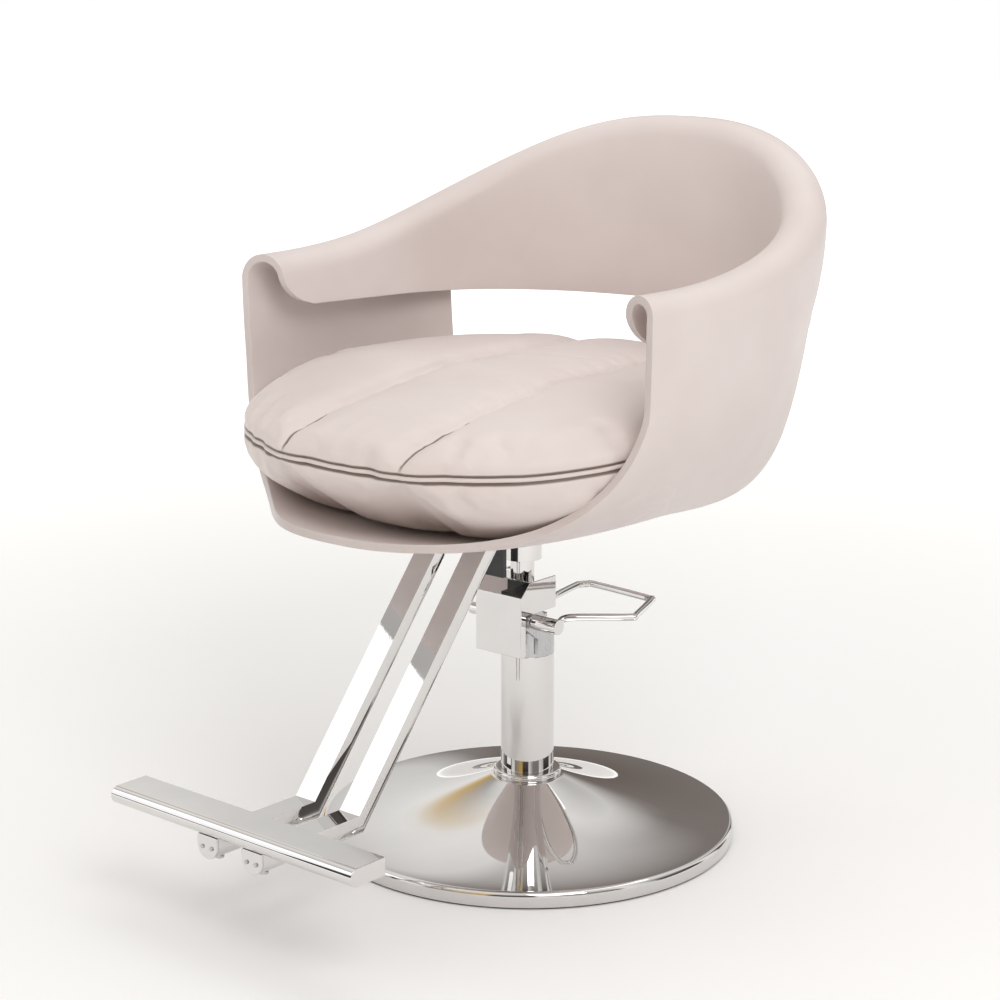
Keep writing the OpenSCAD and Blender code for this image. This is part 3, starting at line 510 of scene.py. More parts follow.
MACHINED = [
    ("head_cover", "base", "chrome", chrome, 0.0007), ("pump_head", "base", "steel", steel, 0.0006),
    ("ram_gland", "base", "brass", brass, 0.0004), ("column_tube", "base", "chrome", chrome, 0.0006),
    ("pedal_shaft", "pedal", "chrome", chrome, 0.0008), ("pedal_boss", "pedal", "chrome", chrome, 0.0008),
    ("pedal_eye", "pedal", "chrome", chrome, 0.0006), ("ram", "seat", "chrome", chrome, 0.0006),
    ("seat_bracket", "seat", "black_steel", black_paint, 0.0009),
    ("footrest_bracket", "seat", "black_steel", black_paint, 0.0009),
    ("bracket_bolts", "seat", "steel", steel, 0.0004), ("bracket_screws", "seat", "steel", steel, 0.0004),
    ("left_footrest_tube", "seat", "chrome", chrome, 0.0008),
    ("right_footrest_tube", "seat", "chrome", chrome, 0.0008),
    ("tube_end_caps", "seat", "chrome", chrome, 0.0007), ("cap_screws", "seat", "steel", steel, 0.0004),
    ("foot_bar", "seat", "chrome", chrome, 0.0012), ("foot_bar_screws", "seat", "steel", steel, 0.0004),
    ("head_screws", "base", "steel", steel, 0.0004), ("base_edge_ring", "base", "rubber", black_rubber, 0.0008)]
for node, body, slot, material, bevel in MACHINED:
    place_piece(finished_copy(node, material, bevel), body, slot, node)

# the turned hub of the black seat bracket is left bright, like the ram that stands in it
bracket = bpy.data.objects["seat_bracket_finished"].data
bracket.materials.append(chrome)
ram_low, ram_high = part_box("ram")
ram_y = (ram_low.y + ram_high.y) / 2
HUB_REACH = 0.026
middle = np.empty(len(bracket.polygons) * 3)
bracket.polygons.foreach_get("center", middle)
middle = middle.reshape(-1, 3)
from_ram = np.hypot(middle[:, 0], middle[:, 1] - ram_y)
below_plate = middle[:, 2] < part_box("seat_bracket")[1].z - 0.012
bright = (from_ram < HUB_REACH) & below_plate
bracket.polygons.foreach_set("material_index", bright.astype(np.int32))
print("bright faces of the hub", int(bright.sum()))

# %% The plunger's spring
# Its foot stays in the pump head and its top goes down with the plunger. Here it is a finished copy without a bevel,
# with its transform baked in.
spring = finished_copy("plunger_spring", steel, 0.0)
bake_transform(spring)
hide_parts("plunger_spring")

# %% Finishes of the CAD nodes that stay as they are
CARRIED = {"base_plate": steel, "base_flange": steel, "base_bolts": steel, "pump_foot_valve": steel,
           "pressure_tube": steel, "plunger": steel, "boss_grub_screw": steel,
           "shaft_clip": steel, "piston": steel, "piston_seal": black_rubber, "ram_stop_ring": steel,
           "cushion_board": plywood}
for node, material in CARRIED.items():
    for slot in nodes[node].material_slots:
        slot.material = material
    if not nodes[node].material_slots:
        nodes[node].data.materials.append(material)
print("carried over", len(CARRIED), "nodes")

# %% [markdown]
# ## The base cover and its collar
# The base is a spun chrome sheet: a smith presses a turning disc over a former, so its section is one
# flowing line from the rolled rim up to the column. A lathe shape is the right model: the section is
# a curve, and it is carried round the axis. The dish height falls off with a power of the distance.

# %% Spun shapes
def spun(name, section, columns, material):
    """Carries a closed section [(radius, height)] round the Z axis.
    Point = (radius cos turn, radius sin turn, height)."""
    section = np.asarray(section, float)
    turn = np.linspace(0, 2 * np.pi, columns, endpoint=False)
    radius, height = section[:, 0][:, None], section[:, 1][:, None]
    points = np.stack([radius * np.cos(turn), radius * np.sin(turn), height + 0 * turn], -1)
    closed = np.concatenate([points, points[:1]])
    faces = grid_faces(len(closed), columns, 0, closed=True)
    return mesh_object(name, closed.reshape(-1, 3), faces, [material], weld=1e-6)


def arc(centre, radius, from_deg, to_deg, count):
    """Points of a circular arc in the plane of a section."""
    a = np.radians(np.linspace(from_deg, to_deg, count))
    return np.stack([centre[0] + radius * np.cos(a), centre[1] + radius * np.sin(a)], -1)


cover_low, cover_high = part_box("base_cover")
rim_r = cover_high.x
dish_top = cover_high.z
foot_clear = cover_low.z
rim_top = 0.020
rim_round = 0.006
sheet_t = 0.0025
neck_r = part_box("column_tube")[1].x + 0.0003
collar_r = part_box("column_collar")[1].x
DISH_POWER = 1.75

dish = np.linspace(collar_r, rim_r - rim_round, 56)
fall = (rim_r - rim_round - dish) / (rim_r - rim_round - collar_r)
dish_line = np.stack([dish, rim_top + (dish_top - rim_top) * fall ** DISH_POWER], -1)
rim_line = arc((rim_r - rim_round, rim_top - rim_round), rim_round, 88, 0, 10)
inner_rim = arc((rim_r - rim_round, rim_top - rim_round), rim_round - sheet_t, 0, 88, 8)
hem = [(rim_r, foot_clear + 0.0006), (rim_r - 0.0006, foot_clear), (rim_r - sheet_t + 0.0006, foot_clear),
       (rim_r - sheet_t, foot_clear + 0.0006)]
section = np.concatenate([[(neck_r, dish_top)], dish_line, rim_line, hem, inner_rim,
                          dish_line[::-1] - (0, sheet_t), [(neck_r, dish_top - sheet_t)]])
base_cover = spun("base_cover_spun", section[::-1], 224, chrome)
base_cover.data.set_sharp_from_angle(angle=math.radians(50))
place_piece(base_cover, "base", "chrome", "base_cover")

collar_low, collar_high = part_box("column_collar")
fillet = 0.003
collar_section = np.concatenate([
    [(neck_r, collar_low.z)], [(collar_r - 0.0008, collar_low.z), (collar_r, collar_low.z + 0.0008)],
    arc((collar_r - fillet, collar_high.z - fillet), fillet, 0, 90, 8), [(neck_r, collar_high.z)]])
collar = spun("column_collar_spun", collar_section, 128, chrome)
collar.data.set_sharp_from_angle(angle=math.radians(50))
place_piece(collar, "base", "chrome", "column_collar")

# %% [markdown]
# ## The pedal
# The pedal is one bright rod, bent to a loop that a shoe finds without looking. It is modelled as a
# round section carried along a smooth curve through its bend points. The section keeps upright by
# using the world's vertical, so the tube doesn't twist.

# %% Rod along a curve
def smooth_curve(points, per_span):
    """Catmull-Rom curve: on each span a cubic that passes through both ends with the slope of
    their neighbours."""
    p = np.asarray(points, float)
    padded = np.concatenate([p[:1], p, p[-1:]])
    a, b, c, d = padded[:-3], padded[1:-2], padded[2:-1], padded[3:]
    t = np.linspace(0, 1, per_span, endpoint=False)[None, :, None]
    a, b, c, d = (q[:, None, :] for q in (a, b, c, d))
    curve = 0.5 * (2 * b + (c - a) * t + (2 * a - 5 * b + 4 * c - d) * t ** 2 + (3 * b - a - 3 * c + d) * t ** 3)
    return np.concatenate([curve.reshape(-1, 3), p[-1:]])


def unit(v):
    """Vectors scaled to length one."""
    return v / np.linalg.norm(v, axis=-1, keepdims=True)


def rod(name, path, radius, sides, material, closed=False, up=(0.0, 0.0, 1.0)):
    """A round section carried along path.
    Point = path + radius (cos a side + sin a over), where side is across the path and level."""
    ahead, behind = np.roll(path, -1, 0), np.roll(path, 1, 0)
    if not closed:
        ahead[-1], behind[0] = path[-1], path[0]
    along = unit(ahead - behind)
    side = unit(np.cross(along, np.asarray(up)))
    over = np.cross(side, along)
    a = np.linspace(0, 2 * np.pi, sides, endpoint=False)[None, :, None]
    rings = path[:, None, :] + radius * (np.cos(a) * side[:, None, :] + np.sin(a) * over[:, None, :])
    if closed:
        rings = np.concatenate([rings, rings[:1]])
    faces = list(grid_faces(len(rings), sides, 0, closed=True)[:, ::-1])
    if not closed:
        last = (len(rings) - 1) * sides
        faces += [list(range(sides)), [last + k for k in range(sides)][::-1]]
    obj = mesh_object(name, rings.reshape(-1, 3), faces, [material], weld=1e-7)
    work = bmesh.new()
    work.from_mesh(obj.data)
    bmesh.ops.recalc_face_normals(work, faces=work.faces)
    work.to_mesh(obj.data)
    work.free()
    return obj


loop_low, loop_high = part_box("pedal_loop")
shaft_low, shaft_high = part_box("pedal_shaft")
plunger_x = (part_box("plunger")[0].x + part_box("plunger")[1].x) / 2
shaft_y = (shaft_low.y + shaft_high.y) / 2
shaft_z = (shaft_low.z + shaft_high.z) / 2
rod_radius = 0.0043
reach = loop_high.y - shaft_y - rod_radius
arm_run = (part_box("plunger")[0].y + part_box("plunger")[1].y) / 2 - shaft_y
arm_rise = 0.008
eye_edge = 0.008
pedal_bends = np.array([
    (shaft_high.x - 0.004, eye_edge, 0.003), (shaft_high.x - 0.002, 0.014, 0.007), (shaft_high.x + 0.010, 0.024, 0.009),
    (0.128, reach - 0.098, 0.0085), (0.127, reach - 0.086, 0.008), (0.095, reach - 0.014, 0.005),
    (0.084, reach - 0.008, 0.005), (0.0, reach, 0.005), (-0.010, reach - 0.004, 0.005),
    (-0.015, reach - 0.014, 0.0055), (-0.014, reach - 0.025, 0.006), (0.002, 0.080, 0.008),
    (plunger_x - 0.005, arm_run + 0.020, arm_rise + 0.001), (plunger_x, arm_run + 0.008, arm_rise + 0.0005),
    (plunger_x, arm_run, arm_rise), (plunger_x, eye_edge, eye_edge * arm_rise / arm_run)])
pedal_path = smooth_curve(pedal_bends + (0, shaft_y, shaft_z), 8)
pedal = rod("pedal_rod", pedal_path, rod_radius, 20, chrome)
place_piece(pedal, "pedal", "chrome", "pedal_loop")

# %% [markdown]
# ## The tub
# The real tub is a thin steel and foam shell wrapped in one hide: it rises from the pan into the sides,
# rolls over inwards at the arms and the back, and hangs a short way down inside as a flap. It could be
# modelled by pushing box faces about, but a formula holds the flow better. Going round the chair, the
# plan is a superellipse. Going up, a Bezier curve leads from the flat pan into the wall, and then come
# the wall, a half-round roll and the flap. Every point is shell(turn, rise): turn runs from -90 at
# the front to 90 at the back, and rise from 0 at the pan to 4 at the lower edge of the flap.

# %% The tub's sizes
pan_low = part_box("seat_pan")[0]
band_low, band_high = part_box("back_band")
pan_z = pan_low.z
half_width = 0.308
arm_z = pan_z + 0.289
back_rise = band_high.z - arm_z
lean = 0.04
plan_back = band_high.y / (1 + lean)
plan_front = 0.520
shell_t = 0.009
roll_r = 0.026
flap_drop = 0.066
front_n, rear_n = 2.5, 2.38
front_share, front_power = 0.646, 4.45
wall_front, rear_angle = 13.9, 28.5
pan_flat = 0.33
joint_rise = 0.50
lip_rise, corner_rise = 0.66, 0.80
print("tub", round(2 * half_width, 3), "wide, arms at", round(arm_z, 3), "back at", round(band_high.z, 3))

# %% The tub's formula
def lerp(a, b, t):
    """The value a share t of the way from a to b."""
    return a + (b - a) * t


def smooth(t):
    """Rises from 0 to 1 with a level start and end: 3t^2 - 2t^3."""
    t = np.clip(t, 0, 1)
    return t * t * (3 - 2 * t)


def plan(turn):
    """Outline from above, a superellipse: x = half width * cos^(2/n), y = length * sin^(2/n)."""
    a = np.radians(turn)
    c, s = np.cos(a), np.sin(a)
    power = 2 / np.where(s > 0, rear_n, front_n)
    return np.stack([half_width * np.sign(c) * np.abs(c) ** power,
                     np.where(s > 0, plan_back, plan_front) * np.sign(s) * np.abs(s) ** power], -1)


def rearness(turn):
    """0 ahead of the arms' middle, rising to 1 at the back."""
    return smooth(plan(turn)[..., 1] / 0.200)


def bowl(turn, rise):
    """Cubic Bezier from the pan to the wall. Returns the share of the plan and the height."""
    k = rearness(turn)
    one = np.ones_like(k)
    shares = [pan_flat * one, lerp(0.73, 0.82, k), lerp(0.955, 0.91, k), one]
    heights = [pan_z * one, pan_z * one, pan_z + lerp(0.068, 0.024, k), pan_z + lerp(0.165, 0.235, k)]
    t = rise
    weights = [(1 - t) ** 3, 3 * (1 - t) ** 2 * t, 3 * (1 - t) * t ** 2, t ** 3]
    return sum(w * s for w, s in zip(weights, shares)), sum(w * h for w, h in zip(weights, heights))


def inward(turn):
    """Unit normal of the plan, pointing into the seat."""
    d = plan(turn + 0.2) - plan(turn - 0.2)
    return unit(np.stack([-d[..., 1], d[..., 0]], -1))


def rim_height(turn):
    """The top edge climbs from the arms to the back with a power of the distance."""
    along = np.maximum(0, (plan(turn)[..., 1] + 0.160) / (plan_back + 0.160))
    return arm_z + back_rise * along ** 2.5


def flap_height(turn):
    """The flap's lower edge, almost level, a little lower at the back."""
    return arm_z - flap_drop - 0.025 * plan(turn)[..., 1]


def shell(turn, rise):
    """Point of the tub's outer surface. Up to 1 it is the bowl, up to 2 the wall, up to 3 a half
    circle that rolls inwards and up to 4 the flap that hangs from it."""
    turn, rise = np.broadcast_arrays(np.asarray(turn, float), np.asarray(rise, float))
    outline, n = plan(turn), inward(turn)
    share, height = bowl(turn, np.clip(rise, 0, 1))
    u = np.clip(rise - 1, 0, 1)
    out = lerp(0.008, lean, rearness(turn))
    spread = 1 + out * (2 * u - u * u)
    roll_z = rim_height(turn) - roll_r
    height = np.where(rise > 1, lerp(height, roll_z, u), height)
    a = np.pi * np.clip(rise - 2, 0, 1)
    height = height + np.where(rise > 2, roll_r * np.sin(a), 0)
    height = np.where(rise > 3, lerp(roll_z, flap_height(turn), rise - 3), height)
    xy = outline * (share * spread)[..., None] + n * (roll_r * (1 - np.cos(a)))[..., None]
    return np.concatenate([xy, height[..., None]], -1)


def halve(found, low, high, steps=30):
    """Finds where found(middle) turns true, by halving the span from low to high, as arrays."""
    for _ in range(steps):
        middle = (low + high) / 2
        past = found(middle)
        low, high = np.where(past, low, middle), np.where(past, middle, high)
    return (low + high) / 2


def front_rise(turn_down):
    """How far up the bowl the pan's front lip is cut, at that many degrees ahead of the side."""
    share = front_share + (1 - front_share) * ((90 - turn_down) / (90 - wall_front)) ** front_power
    return halve(lambda t: bowl(-turn_down, t)[0] > share, np.zeros_like(turn_down), np.ones_like(turn_down))


def front_turn(rise):
    """The turn at which the cut passes a given rise, the inverse of front_rise."""
    return halve(lambda w: front_rise(w) < rise, np.full_like(rise, wall_front), np.full_like(rise, 89.0))


def curl_turn(rise):
    """Front edge of the roll and the flap: cut back a little, with a rounded lower corner."""
    curl_cut = 0.036
    left = np.maximum((4 - rise) * (flap_drop - roll_r), 0.0005)
    corner = curl_cut - np.sqrt(np.maximum(curl_cut ** 2 - (curl_cut - np.minimum(left, curl_cut)) ** 2, 0))
    flap = wall_front - 1.6 * (rise - 2) - np.where(left < curl_cut, corner * 130, 0)
    return np.where(rise <= 2, wall_front, np.where(rise <= 3, wall_front - 1.6 * (rise - 2), flap))


def front_edge(rise):
    """Turn of the arm's front edge at each rise."""
    return np.where(rise < 1, front_turn(np.minimum(rise, 0.9999)), curl_turn(rise))


def band_foot(turn):
    """Rise at which the outer sheet comes down to the level of the flap's lower edge."""
    low, high = np.full_like(turn, 0.5), np.full_like(turn, 2.0)
    return halve(lambda t: shell(turn, t)[..., 2] > flap_height(turn), low, high)


print("shell at the side", shell(0.0, 2.5).round(3), "and at the back", shell(90.0, 2.5).round(3))

# %% [markdown]
# ## Patches of the tub
# The tub isn't one rectangle of (turn, rise): its front is cut to a lip and there is a window under the
# back. So it is laid out in five patches that share their border points exactly: pan, side, back
# band, rear lip and the strip that closes the band underneath. Only half is made. The other half is
# its mirror, and welding joins them all into one sheet.

# %% Lay out the patches
FRONT_COLUMNS, SIDE_COLUMNS, REAR_COLUMNS = 30, 58, 40
side_front = float(front_edge(np.array([joint_rise]))[0])
k = np.linspace(0, 1, SIDE_COLUMNS + 1)
front_turns = lerp(-90.0, -side_front, (np.arange(FRONT_COLUMNS) / FRONT_COLUMNS) ** 0.8)
side_turns = lerp(-side_front, rear_angle, k)
rear_turns = np.linspace(rear_angle, 90.0, REAR_COLUMNS + 1)

pan_turns = np.concatenate([front_turns, side_turns, rear_turns[1:]])
pan_rise = np.concatenate([front_rise(-front_turns), np.full(len(pan_turns) - FRONT_COLUMNS, joint_rise)])
flat_rows = np.linspace(0.02, 0.28, 8)[:, None, None]
flat_part = np.concatenate([plan(pan_turns)[None] * (pan_flat * flat_rows / 0.3),
                            np.full((8, len(pan_turns), 1), pan_z)], -1)
bowl_rows = np.linspace(0, 1, 40)[:, None]
pan_patch = np.concatenate([flat_part, shell(pan_turns[None], pan_rise[None] * bowl_rows)])

foot_at_side = float(band_foot(np.array([rear_angle]))[0])
LIP_ROWS = np.linspace(0, 1, 9)
FOOT_ROWS = np.linspace(0, 1, 8)
upper_rows = np.concatenate([np.linspace(1.34, 2, 12)[1:], np.linspace(2, 3, 19)[1:], np.linspace(3, 4, 8)[1:]])
side_rows = np.concatenate([lerp(joint_rise, corner_rise, LIP_ROWS), np.linspace(corner_rise, foot_at_side, 5)[1:-1],
                            lerp(foot_at_side, 1.34, FOOT_ROWS), upper_rows])
side_edge = front_edge(side_rows)
side_patch = shell(lerp(-side_edge[:, None], rear_angle, k[None]), side_rows[:, None])

foot = band_foot(rear_turns)
band_rows = np.concatenate([lerp(foot[None], 1.34, FOOT_ROWS[:, None]),
                            np.repeat(upper_rows[:, None], len(rear_turns), 1)])
band_patch = shell(rear_turns[None], band_rows)

CORNER_SPAN = 7.0
corner = np.clip((rear_angle + CORNER_SPAN - rear_turns) / CORNER_SPAN, 0, 1)
lip = lip_rise + (corner_rise - lip_rise) * (1 - np.sqrt(1 - corner ** 2))
lip_patch = shell(rear_turns[None], lerp(joint_rise, lip[None], LIP_ROWS[:, None]))

strip_rows = np.linspace(0, 1, 7)[:, None, None]
strip_patch = lerp(shell(rear_turns, 4.0)[None], shell(rear_turns, foot)[None], strip_rows)

# %% Weld the half and its mirror
half_points, half_faces = [], []
for patch in (pan_patch, side_patch, band_patch, lip_patch, strip_patch):
    start = sum(len(p) for p in half_points)
    half_points.append(patch.reshape(-1, 3))
    half_faces.append(grid_faces(patch.shape[0], patch.shape[1], start))
points = np.concatenate(half_points)
faces = np.concatenate(half_faces)
hub = len(points)
points = np.concatenate([points, [(0, 0, pan_z)]])
first = np.arange(len(pan_turns) - 1)
hub_faces = np.stack([np.full_like(first, hub), first + 1, first], -1)
mirrored = points * (-1, 1, 1)
both = np.concatenate([points, mirrored])
all_faces = [list(f) for f in faces] + [list(f) for f in hub_faces]
all_faces += [list(f) for f in (faces + len(points))[:, ::-1]] + [list(f) for f in (hub_faces + len(points))[:, ::-1]]
tub = mesh_object("leather_tub", both, all_faces, [tub_leather, trim_leather], weld=2e-5)
edge_of_corner = np.empty(len(tub.data.loops), np.int32)
tub.data.loops.foreach_get("edge_index", edge_of_corner)
open_edges = int((np.bincount(edge_of_corner) == 1).sum())
print("tub sheet has", len(tub.data.polygons), "faces and", open_edges, "border edges")

# %% Give the tub its thickness and round its cut edges
thick = tub.modifiers.new("padding", "SOLIDIFY")
thick.thickness = shell_t
thick.offset = -1.0
thick.use_even_offset = True
thick.use_quality_normals = True
thick.material_offset_rim = 1
rolled = tub.modifiers.new("folded_edges", "BEVEL")
rolled.width = 0.0034
rolled.segments = 4
rolled.limit_method = "ANGLE"
rolled.angle_limit = math.radians(55)
rolled.use_clamp_overlap = True
place_piece(tub, "seat", "leather", "seat_pan", "left_side_panel", "right_side_panel", "back_band", "back_core")

# %% [markdown]
# ## The seat cushion
# The cushion is a round-cornered box of foam in a sewn cover: a bottom half and a top half meet in a
# welted seam that runs round it, and two seams cross the top from front to back. Stuffing makes the
# cover swell between the seams. That is exactly what a cloth simulation does, so a slightly small
# form is blown up with its two top seams held still, and the seams are then pressed in.

# %% The cushion before it is stuffed
cushion_low, cushion_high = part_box("cushion")
middle_y = -0.058
cushion_n = 2.4
reach_back, reach_front = cushion_high.y - middle_y, middle_y - cushion_low.y
base_z = cushion_low.z
seam_rise = 0.106
crown_rise = 0.156
top_seam_x = 0.087
SECTION = np.array([(0, 0), (0.3, 0), (0.52, 0.02), (0.70, 0.14), (0.84, 0.37), (0.945, 0.66), (1, 1),
                    (1.0, 1.36), (0.985, 1.62), (0.91, 1.83), (0.74, 1.95), (0.42, 2.0), (0, 2.0)])


def slope_factor(y):
    """The cushion is a quarter lower at its front edge and a little higher at its back."""
    from_middle = y - middle_y
    return 1 + 0.25 * np.where(from_middle < 0, from_middle / reach_front, 0.1 * from_middle / reach_back)


def seam_height(y):
    """Height of the seam that runs round the cushion."""
    return base_z + seam_rise * slope_factor(y)


def cushion_points(columns, per_span, inset):
    """Rings of a superellipse that shrink and rise along SECTION. inset makes the form smaller."""
    curve = smooth_curve(np.pad(SECTION, ((0, 0), (0, 1))), per_span)[:, :2]
    share, h = np.maximum(curve[:, 0], 0)[:, None], np.clip(curve[:, 1], 0, 2)[:, None]
    a = np.linspace(0, 2 * np.pi, columns, endpoint=False)[None]
    c, sn = np.cos(a), np.sin(a)
    x = (cushion_high.x - inset) * share * np.sign(c) * np.abs(c) ** (2 / cushion_n)
    deep = np.where(sn < 0, reach_front, reach_back) - inset
    y = middle_y + deep * share * np.sign(sn) * np.abs(sn) ** (2 / cushion_n)
    rise = np.where(h < 1, h * seam_rise, lerp(seam_rise, crown_rise, h - 1))
    z = base_z + 0.5 * inset + slope_factor(y) * rise * (1 - inset / crown_rise)
    return np.stack([x, y, z + 0 * x], -1)


VOXEL = 0.006
SLACK_INSET = 0.007
rings = cushion_points(160, 6, SLACK_INSET)
rings[0], rings[-1] = rings[0].mean(0), rings[-1].mean(0)
cushion = mesh_object("seat_cushion", rings.reshape(-1, 3), grid_faces(len(rings), 160, 0, closed=True), [], 1e-5)
remesh = cushion.modifiers.new("even_mesh", "REMESH")
remesh.mode = "VOXEL"
remesh.voxel_size = VOXEL


def bake_modifiers(obj):
    """Puts what the object's modifiers make into its own mesh, and removes them."""
    bpy.context.view_layer.update()
    seen = obj.evaluated_get(bpy.context.evaluated_depsgraph_get())
    made = bpy.data.meshes.new_from_object(seen)
    obj.modifiers.clear()
    old, obj.data = obj.data, made
    bpy.data.meshes.remove(old)


def get_points(mesh):
    """All vertex places of a mesh as an (n, 3) array."""
    out = np.empty(len(mesh.vertices) * 3)
    mesh.vertices.foreach_get("co", out)
    return out.reshape(-1, 3)


def set_points(mesh, points):
    """Puts an (n, 3) array back into a mesh."""
    mesh.vertices.foreach_set("co", points.reshape(-1))
    mesh.update()


bake_modifiers(cushion)
print("cushion cover has", len(cushion.data.vertices), "points before stuffing")

# %% Stuff it
STUFF_FRAMES = 20
STUFF_CAP = 0.009
SEAM_HOLD = 0.0045


def stuff(obj, held):
    """Blows the cover up with cloth pressure. Points in held stay. Moves are capped softly:
    a long move d becomes cap * tanh(d / cap)."""
    before = get_points(obj.data)
    pins = obj.vertex_groups.new(name="seams")
    pins.add(np.flatnonzero(held).tolist(), 1.0, "REPLACE")
    cloth = obj.modifiers.new("stuffing", "CLOTH")
    cloth.settings.quality = 6
    cloth.settings.mass = 0.25
    cloth.settings.tension_stiffness = 12
    cloth.settings.compression_stiffness = 12
    cloth.settings.shear_stiffness = 5
    cloth.settings.bending_stiffness = 0.6
    cloth.settings.shrink_min = -0.018
    cloth.settings.use_pressure = True
    cloth.settings.uniform_pressure_force = 4.0
    cloth.settings.vertex_group_mass = pins.name
    cloth.settings.effector_weights.gravity = 0
    cloth.collision_settings.use_collision = False
    cloth.point_cache.frame_start = 1
    cloth.point_cache.frame_end = STUFF_FRAMES
    for step in range(1, STUFF_FRAMES + 1):
        bpy.context.scene.frame_set(step)
    seen = obj.evaluated_get(bpy.context.evaluated_depsgraph_get())
    after = get_points(seen.data)
    obj.modifiers.clear()
    obj.vertex_groups.clear()
    bpy.context.scene.frame_set(1)
    move = after - before
    far = np.linalg.norm(move, axis=1, keepdims=True) + 1e-9
    set_points(obj.data, before + move / far * STUFF_CAP * np.tanh(far / STUFF_CAP))
    print("stuffing moved it by", round(float(far.mean()) * 1000, 1), "mm on average")


cover = get_points(cushion.data)
from_seam = cover[:, 2] - seam_height(cover[:, 1])
at_top_seam = (np.abs(np.abs(cover[:, 0]) - top_seam_x) < SEAM_HOLD) & (from_seam > 0)
stuff(cushion, at_top_seam)

# %% Press the seams in and fit the cushion to its place
finer = cushion.modifiers.new("finer", "SUBSURF")
finer.levels = finer.render_levels = 1
bake_modifiers(cushion)
cover = get_points(cushion.data)
# the underside lies flat on its board, so what the stuffing pushed below it is taken back first
cover[:, 2] = np.maximum(cover[:, 2], base_z + 0.5 * SLACK_INSET)
for axis in (0, 1, 2):
    low, high = cover[:, axis].min(), cover[:, axis].max()
    share = (cover[:, axis] - low) / (high - low)
    cover[:, axis] = lerp(cushion_low[axis], cushion_high[axis], share)
set_points(cushion.data, cover)
normals = np.empty(len(cover) * 3)
cushion.data.vertex_normals.foreach_get("vector", normals)
normals = normals.reshape(-1, 3)
from_seam = cover[:, 2] - seam_height(cover[:, 1])
outer = np.clip((np.hypot(cover[:, 0] / cushion_high.x, (cover[:, 1] - middle_y) / reach_front) - 0.6) / 0.2, 0, 1)


def valley(distance, width):
    """1 on a seam, falling off to both sides as a bell curve."""
    return np.exp(-(distance / width) ** 2)


rim_valley = valley(from_seam, 0.0055) * outer
top_distance = np.abs(cover[:, 0]) - top_seam_x
on_top = smooth(from_seam / 0.020)
top_valley = valley(top_distance, 0.0060) * on_top
press = 0.0045 * rim_valley + 0.0045 * top_valley + 0.0035 * valley(top_distance, 0.024) * on_top
rows_along = cover[:, 1] + 0.010 * np.sin(31 * cover[:, 1] + 2.0 * np.sign(cover[:, 0]))
pull = np.sin(2 * np.pi * rows_along / 0.046) * valley(top_distance, 0.020) * on_top
front = smooth((middle_y - 0.05 - cover[:, 1]) / 0.12)
run_across = cover[:, 0] + 0.006 * np.sin(40 * cover[:, 0])
gather = np.sin(2 * np.pi * run_across / 0.038) * valley(from_seam - 0.020, 0.022) * front * outer
moved = cover - normals * (press + 0.0007 * pull + 0.0008 * gather)[:, None]
moved[:, 2] = np.maximum(moved[:, 2], base_z + 0.0004)
set_points(cushion.data, moved)
cushion.data.polygons.foreach_set("use_smooth", np.ones(len(cushion.data.polygons), bool))
print("cushion", [round(float(v), 3) for v in moved.min(0)], "to", [round(float(v), 3) for v in moved.max(0)])

# %% [markdown]
# ## The cushion's leather and its seams
# The cushion wears the same hide as the tub. The thread and the shadow of a seam are finer than the mesh, so
# they are drawn in the material from the seam's own formula: a dark line where the distance to the
# seam is under a millimetre or two.

# %% Cushion leather
SEAM_SHADE = (0.16, 0.12, 0.105)


def line_mask(tree, distance, half_width, soft):
    """1 where distance is within half_width of 0, fading out over soft."""
    far = math_node(tree, "ABSOLUTE", distance)
    return range_node(tree, far, 1.0, 0.0, half_width, half_width + soft)


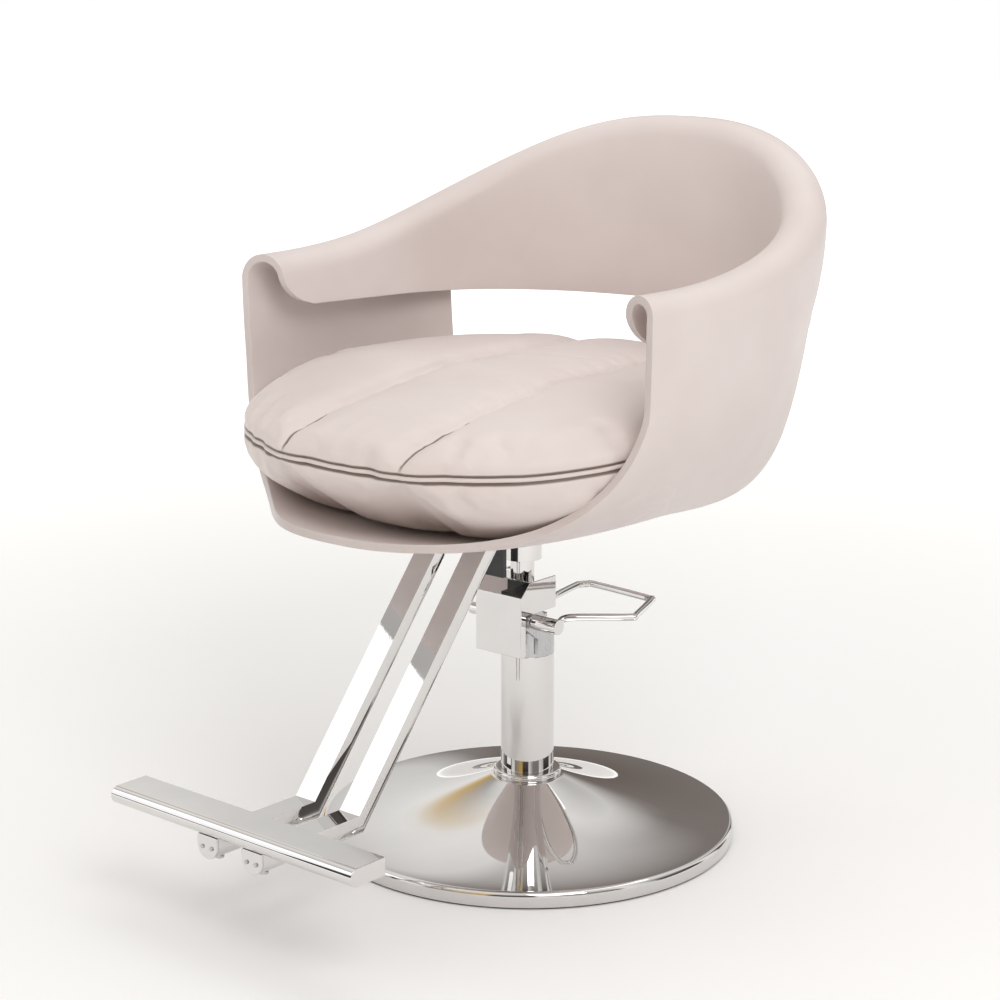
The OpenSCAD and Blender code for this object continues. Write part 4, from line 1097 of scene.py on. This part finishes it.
cushion_leather, tree, shader, skin, place = leather_finish("cushion_leather", LEATHER, LEATHER_DEEP, 0.12)
split = new_node(tree, "ShaderNodeSeparateXYZ")
link(tree, place, split.inputs[0])
ahead = math_node(tree, "MINIMUM", math_node(tree, "SUBTRACT", split.outputs[1], middle_y), 0.0)
behind = math_node(tree, "MAXIMUM", math_node(tree, "SUBTRACT", split.outputs[1], middle_y), 0.0)
tilt = math_node(tree, "ADD", math_node(tree, "MULTIPLY", ahead, 0.25 * seam_rise / reach_front),
                 math_node(tree, "MULTIPLY", behind, 0.025 * seam_rise / reach_back))
over_seam = math_node(tree, "SUBTRACT", math_node(tree, "SUBTRACT", split.outputs[2], tilt), base_z + seam_rise)
beside = math_node(tree, "SUBTRACT", math_node(tree, "ABSOLUTE", split.outputs[0]), top_seam_x)
upper = range_node(tree, over_seam, 0.0, 1.0, 0.004, 0.012)
top_line = math_node(tree, "MULTIPLY", line_mask(tree, beside, 0.0008, 0.0018), upper)
rim_line = line_mask(tree, over_seam, 0.0048, 0.0016)
drawn = math_node(tree, "MAXIMUM", top_line, rim_line)
link(tree, mix_colours(tree, drawn, skin, SEAM_SHADE), shader.inputs["Base Color"])
cushion.data.materials.clear()
cushion.data.materials.append(cushion_leather)
place_piece(cushion, "seat", "padded_leather", "cushion")

# %% [markdown]
# ## The welt
# A thin cord wrapped in leather is sewn into the seam round the cushion. It catches the light as a pale line
# between two dark ones. Its path is measured on the finished cushion: round the middle, the radius of
# the points near the seam is averaged with a bell-shaped weight, so the welt follows every swelling.

# %% Welt
WELT_RADIUS = 0.0024
WELT_POINTS = 260
near = np.abs(moved[:, 2] - seam_height(moved[:, 1])) < 0.003
near &= outer > 0.9
rim = moved[near]
rim_turn = np.arctan2(rim[:, 1] - middle_y, rim[:, 0])
rim_radius = np.hypot(rim[:, 0], rim[:, 1] - middle_y)
welt_turn = np.linspace(-np.pi, np.pi, WELT_POINTS, endpoint=False)
gap = (welt_turn[:, None] - rim_turn[None] + np.pi) % (2 * np.pi) - np.pi
weight = np.exp(-(gap / 0.012) ** 2)
welt_radius = (weight * rim_radius).sum(1) / weight.sum(1) + 0.0006
welt_xy = np.stack([welt_radius * np.cos(welt_turn), middle_y + welt_radius * np.sin(welt_turn)], -1)
welt_path = np.concatenate([welt_xy, seam_height(welt_xy[:, 1])[:, None]], -1)
welt = rod("cushion_welt", welt_path, WELT_RADIUS, 12, tub_leather, closed=True)
place_piece(welt, "seat", "leather")
